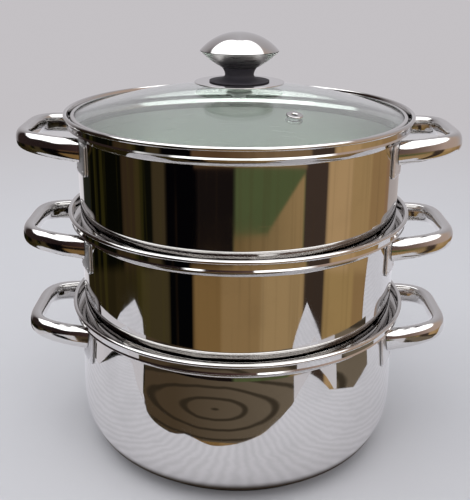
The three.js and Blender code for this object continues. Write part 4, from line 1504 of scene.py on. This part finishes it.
def room_colour(nodes):
    """Pale above and behind; brown, green and dark zones in front, as read and traced from the photograph."""
    room = Room(nodes)
    high = room.steps((-180, PALE), (-144, (32, 33, 29)), (-128, (15, 15, 11)), (-87.5, (50, 40, 29)),
                      (-71, (18, 18, 14)), (-61, (56, 48, 34)), (-51, (11, 10, 12)), (-28, (26, 22, 21)),
                      (-2.5, (72, 80, 53)), (45.5, (59, 49, 43)), (63, (158, 130, 94)),
                      (84, (144, 118, 82)), (104, (130, 104, 72)), (125, (124, 98, 74)),
                      (131, (150, 142, 140)))
    green_foot = [(-180, -18.9), (-28, -18.9), (-2, -19.3), (19.4, -19.2), (29.4, -17.5), (42.9, -15.2),
                  (46, -14.8), (180, -14.8)]
    under_green = nodes.product(room.between(-3, 45), nodes.outside(room.above(green_foot, 0.25)))
    below = room.fade((-180, (92, 76, 50)), (-10, (96, 78, 50)), (24, (118, 98, 68)),
                      (46, (136, 112, 78)), (180, (136, 112, 78)))
    high = nodes.blend(under_green, high, below)
    strip = nodes.product(room.over(-14.5, 0.2), room.between(-30, 46.5))
    high = nodes.blend(strip, high, room.fade((-180, (80, 60, 43)), (-10, (80, 60, 43)),
                                              (20, (110, 90, 68)), (180, (110, 90, 68))))
    low = room.steps((-180, PALE), (-142, (38, 33, 21)), (-98, (44, 38, 24)), (-72, (59, 52, 35)),
                     (-49, (11, 11, 12)), (-31, (112, 88, 56)), (-11.6, (126, 102, 70)),
                     (16, (142, 118, 84)), (47, (54, 45, 39)), (63, (141, 116, 77)),
                     (90, (126, 101, 69)), (119, (150, 142, 140)))
    streak_tone = nodes.blend(room.beyond(-50), tone(66, 61, 28), tone(64, 50, 34))
    strength = nodes.blend(room.beyond(-50), rgba([0.3] * 3), rgba([0.16] * 3))
    both = nodes.blend(room.over(-21.5, 0.5), low, high)
    streaked = nodes.blend(nodes.product(room.streaks, strength), both, streak_tone)
    both = nodes.blend(room.between(-143, 118), both, streaked)
    level = room.fade((-180, (166, 164, 168)), (-140, (140, 136, 138)), (-118, (44, 36, 34)),
                      (-30, (36, 28, 28)), (0, (66, 50, 48)), (30, (110, 92, 84)), (60, (158, 138, 128)),
                      (100, (160, 142, 130)), (135, (152, 148, 150)), (180, (166, 164, 168)))
    front = nodes.blend(room.over(-11.5, 1.0), both, level)
    lit_foot = [(-180, 64), (-172, 64), (-152, 51), (-127, 42), (-112, 42), (-90, 32), (-70, 23), (-58, 27),
                (-48, 29), (-38, 24), (-31, 18), (-25, 20), (-18, 29), (8, 30), (16, 9), (21, 8), (31, 15),
                (45, 18), (66, 25), (90, 40), (104, 50), (117, 52), (156, 57), (172, 64), (180, 64)]
    return nodes.blend(room.above(lit_foot, 3.0), front, (WHITE_GLOW, WHITE_GLOW, 1.01 * WHITE_GLOW, 1.0))


def set_camera(scene, stage):
    """The photograph's angle."""
    data = bpy.data.cameras.new("view")
    data.lens, data.sensor_width, data.shift_y = stage.lens, 36, stage.shift
    data.clip_start, data.clip_end = 0.01, 50
    camera = bpy.data.objects.new("view", data)
    aim = Matrix.Rotation(math.pi / 2 - stage.pitch, 4, "X") @ Matrix.Rotation(stage.roll, 4, "Z")
    camera.matrix_world = Matrix.Translation((stage.camera_x, stage.camera_y, stage.camera_z)) @ aim
    scene.collection.objects.link(camera)
    scene.camera = camera


class BuildStage(Operator):
    """Lays the floor and sets the light, the surroundings and the camera"""
    bl_idname = "steamer.build_stage"
    bl_options = {"REGISTER", "UNDO"}
    bl_label = "Stage"

    def execute(self, context):
        """Nothing here belongs to the object."""
        scene = context.scene
        stage = scene.steamer_stage
        lay_floor(stage)
        hang_light(stage)
        make_surroundings(stage)
        set_camera(scene, stage)
        scene.view_settings.view_transform = "Standard"
        return {"FINISHED"}


STEPS = (BuildVessels, BuildSteamerFloors, BuildBase, BuildHandles, BuildBrackets, BuildLidBand,
         BuildLidGlass, BuildVentEyelet, BuildKnob, BuildStage)


class SteamerPanel(Panel):
    """Sizes, colours and building steps of the steamer pot"""
    bl_idname = "VIEW3D_PT_steamer"
    bl_label = "Steamer pot"
    bl_space_type = "VIEW_3D"
    bl_region_type = "UI"
    bl_category = "Steamer"

    def draw(self, context):
        """Lists the sizes, then the steps."""
        for attribute, group in GROUPS:
            box = self.layout.box()
            box.label(text=group.__doc__)
            for name in group.__annotations__:
                box.prop(getattr(context.scene, attribute), name)
        for step in STEPS:
            self.layout.operator(step.bl_idname)


def register():
    """Registers the classes and hangs the sizes on the scene."""
    for attribute, group in GROUPS:
        bpy.utils.register_class(group)
        setattr(bpy.types.Scene, attribute, PointerProperty(type=group))
    for each in (*STEPS, SteamerPanel):
        bpy.utils.register_class(each)


def unregister():
    """Takes away what register added."""
    for each in reversed((*STEPS, SteamerPanel)):
        bpy.utils.unregister_class(each)
    for attribute, group in reversed(GROUPS):
        delattr(bpy.types.Scene, attribute)
        bpy.utils.unregister_class(group)


def main():
    """Builds everything in order."""
    register()
    for step in STEPS:
        family, name = step.bl_idname.split(".")
        getattr(getattr(bpy.ops, family), name)()


if __name__ == "__main__":
    main()
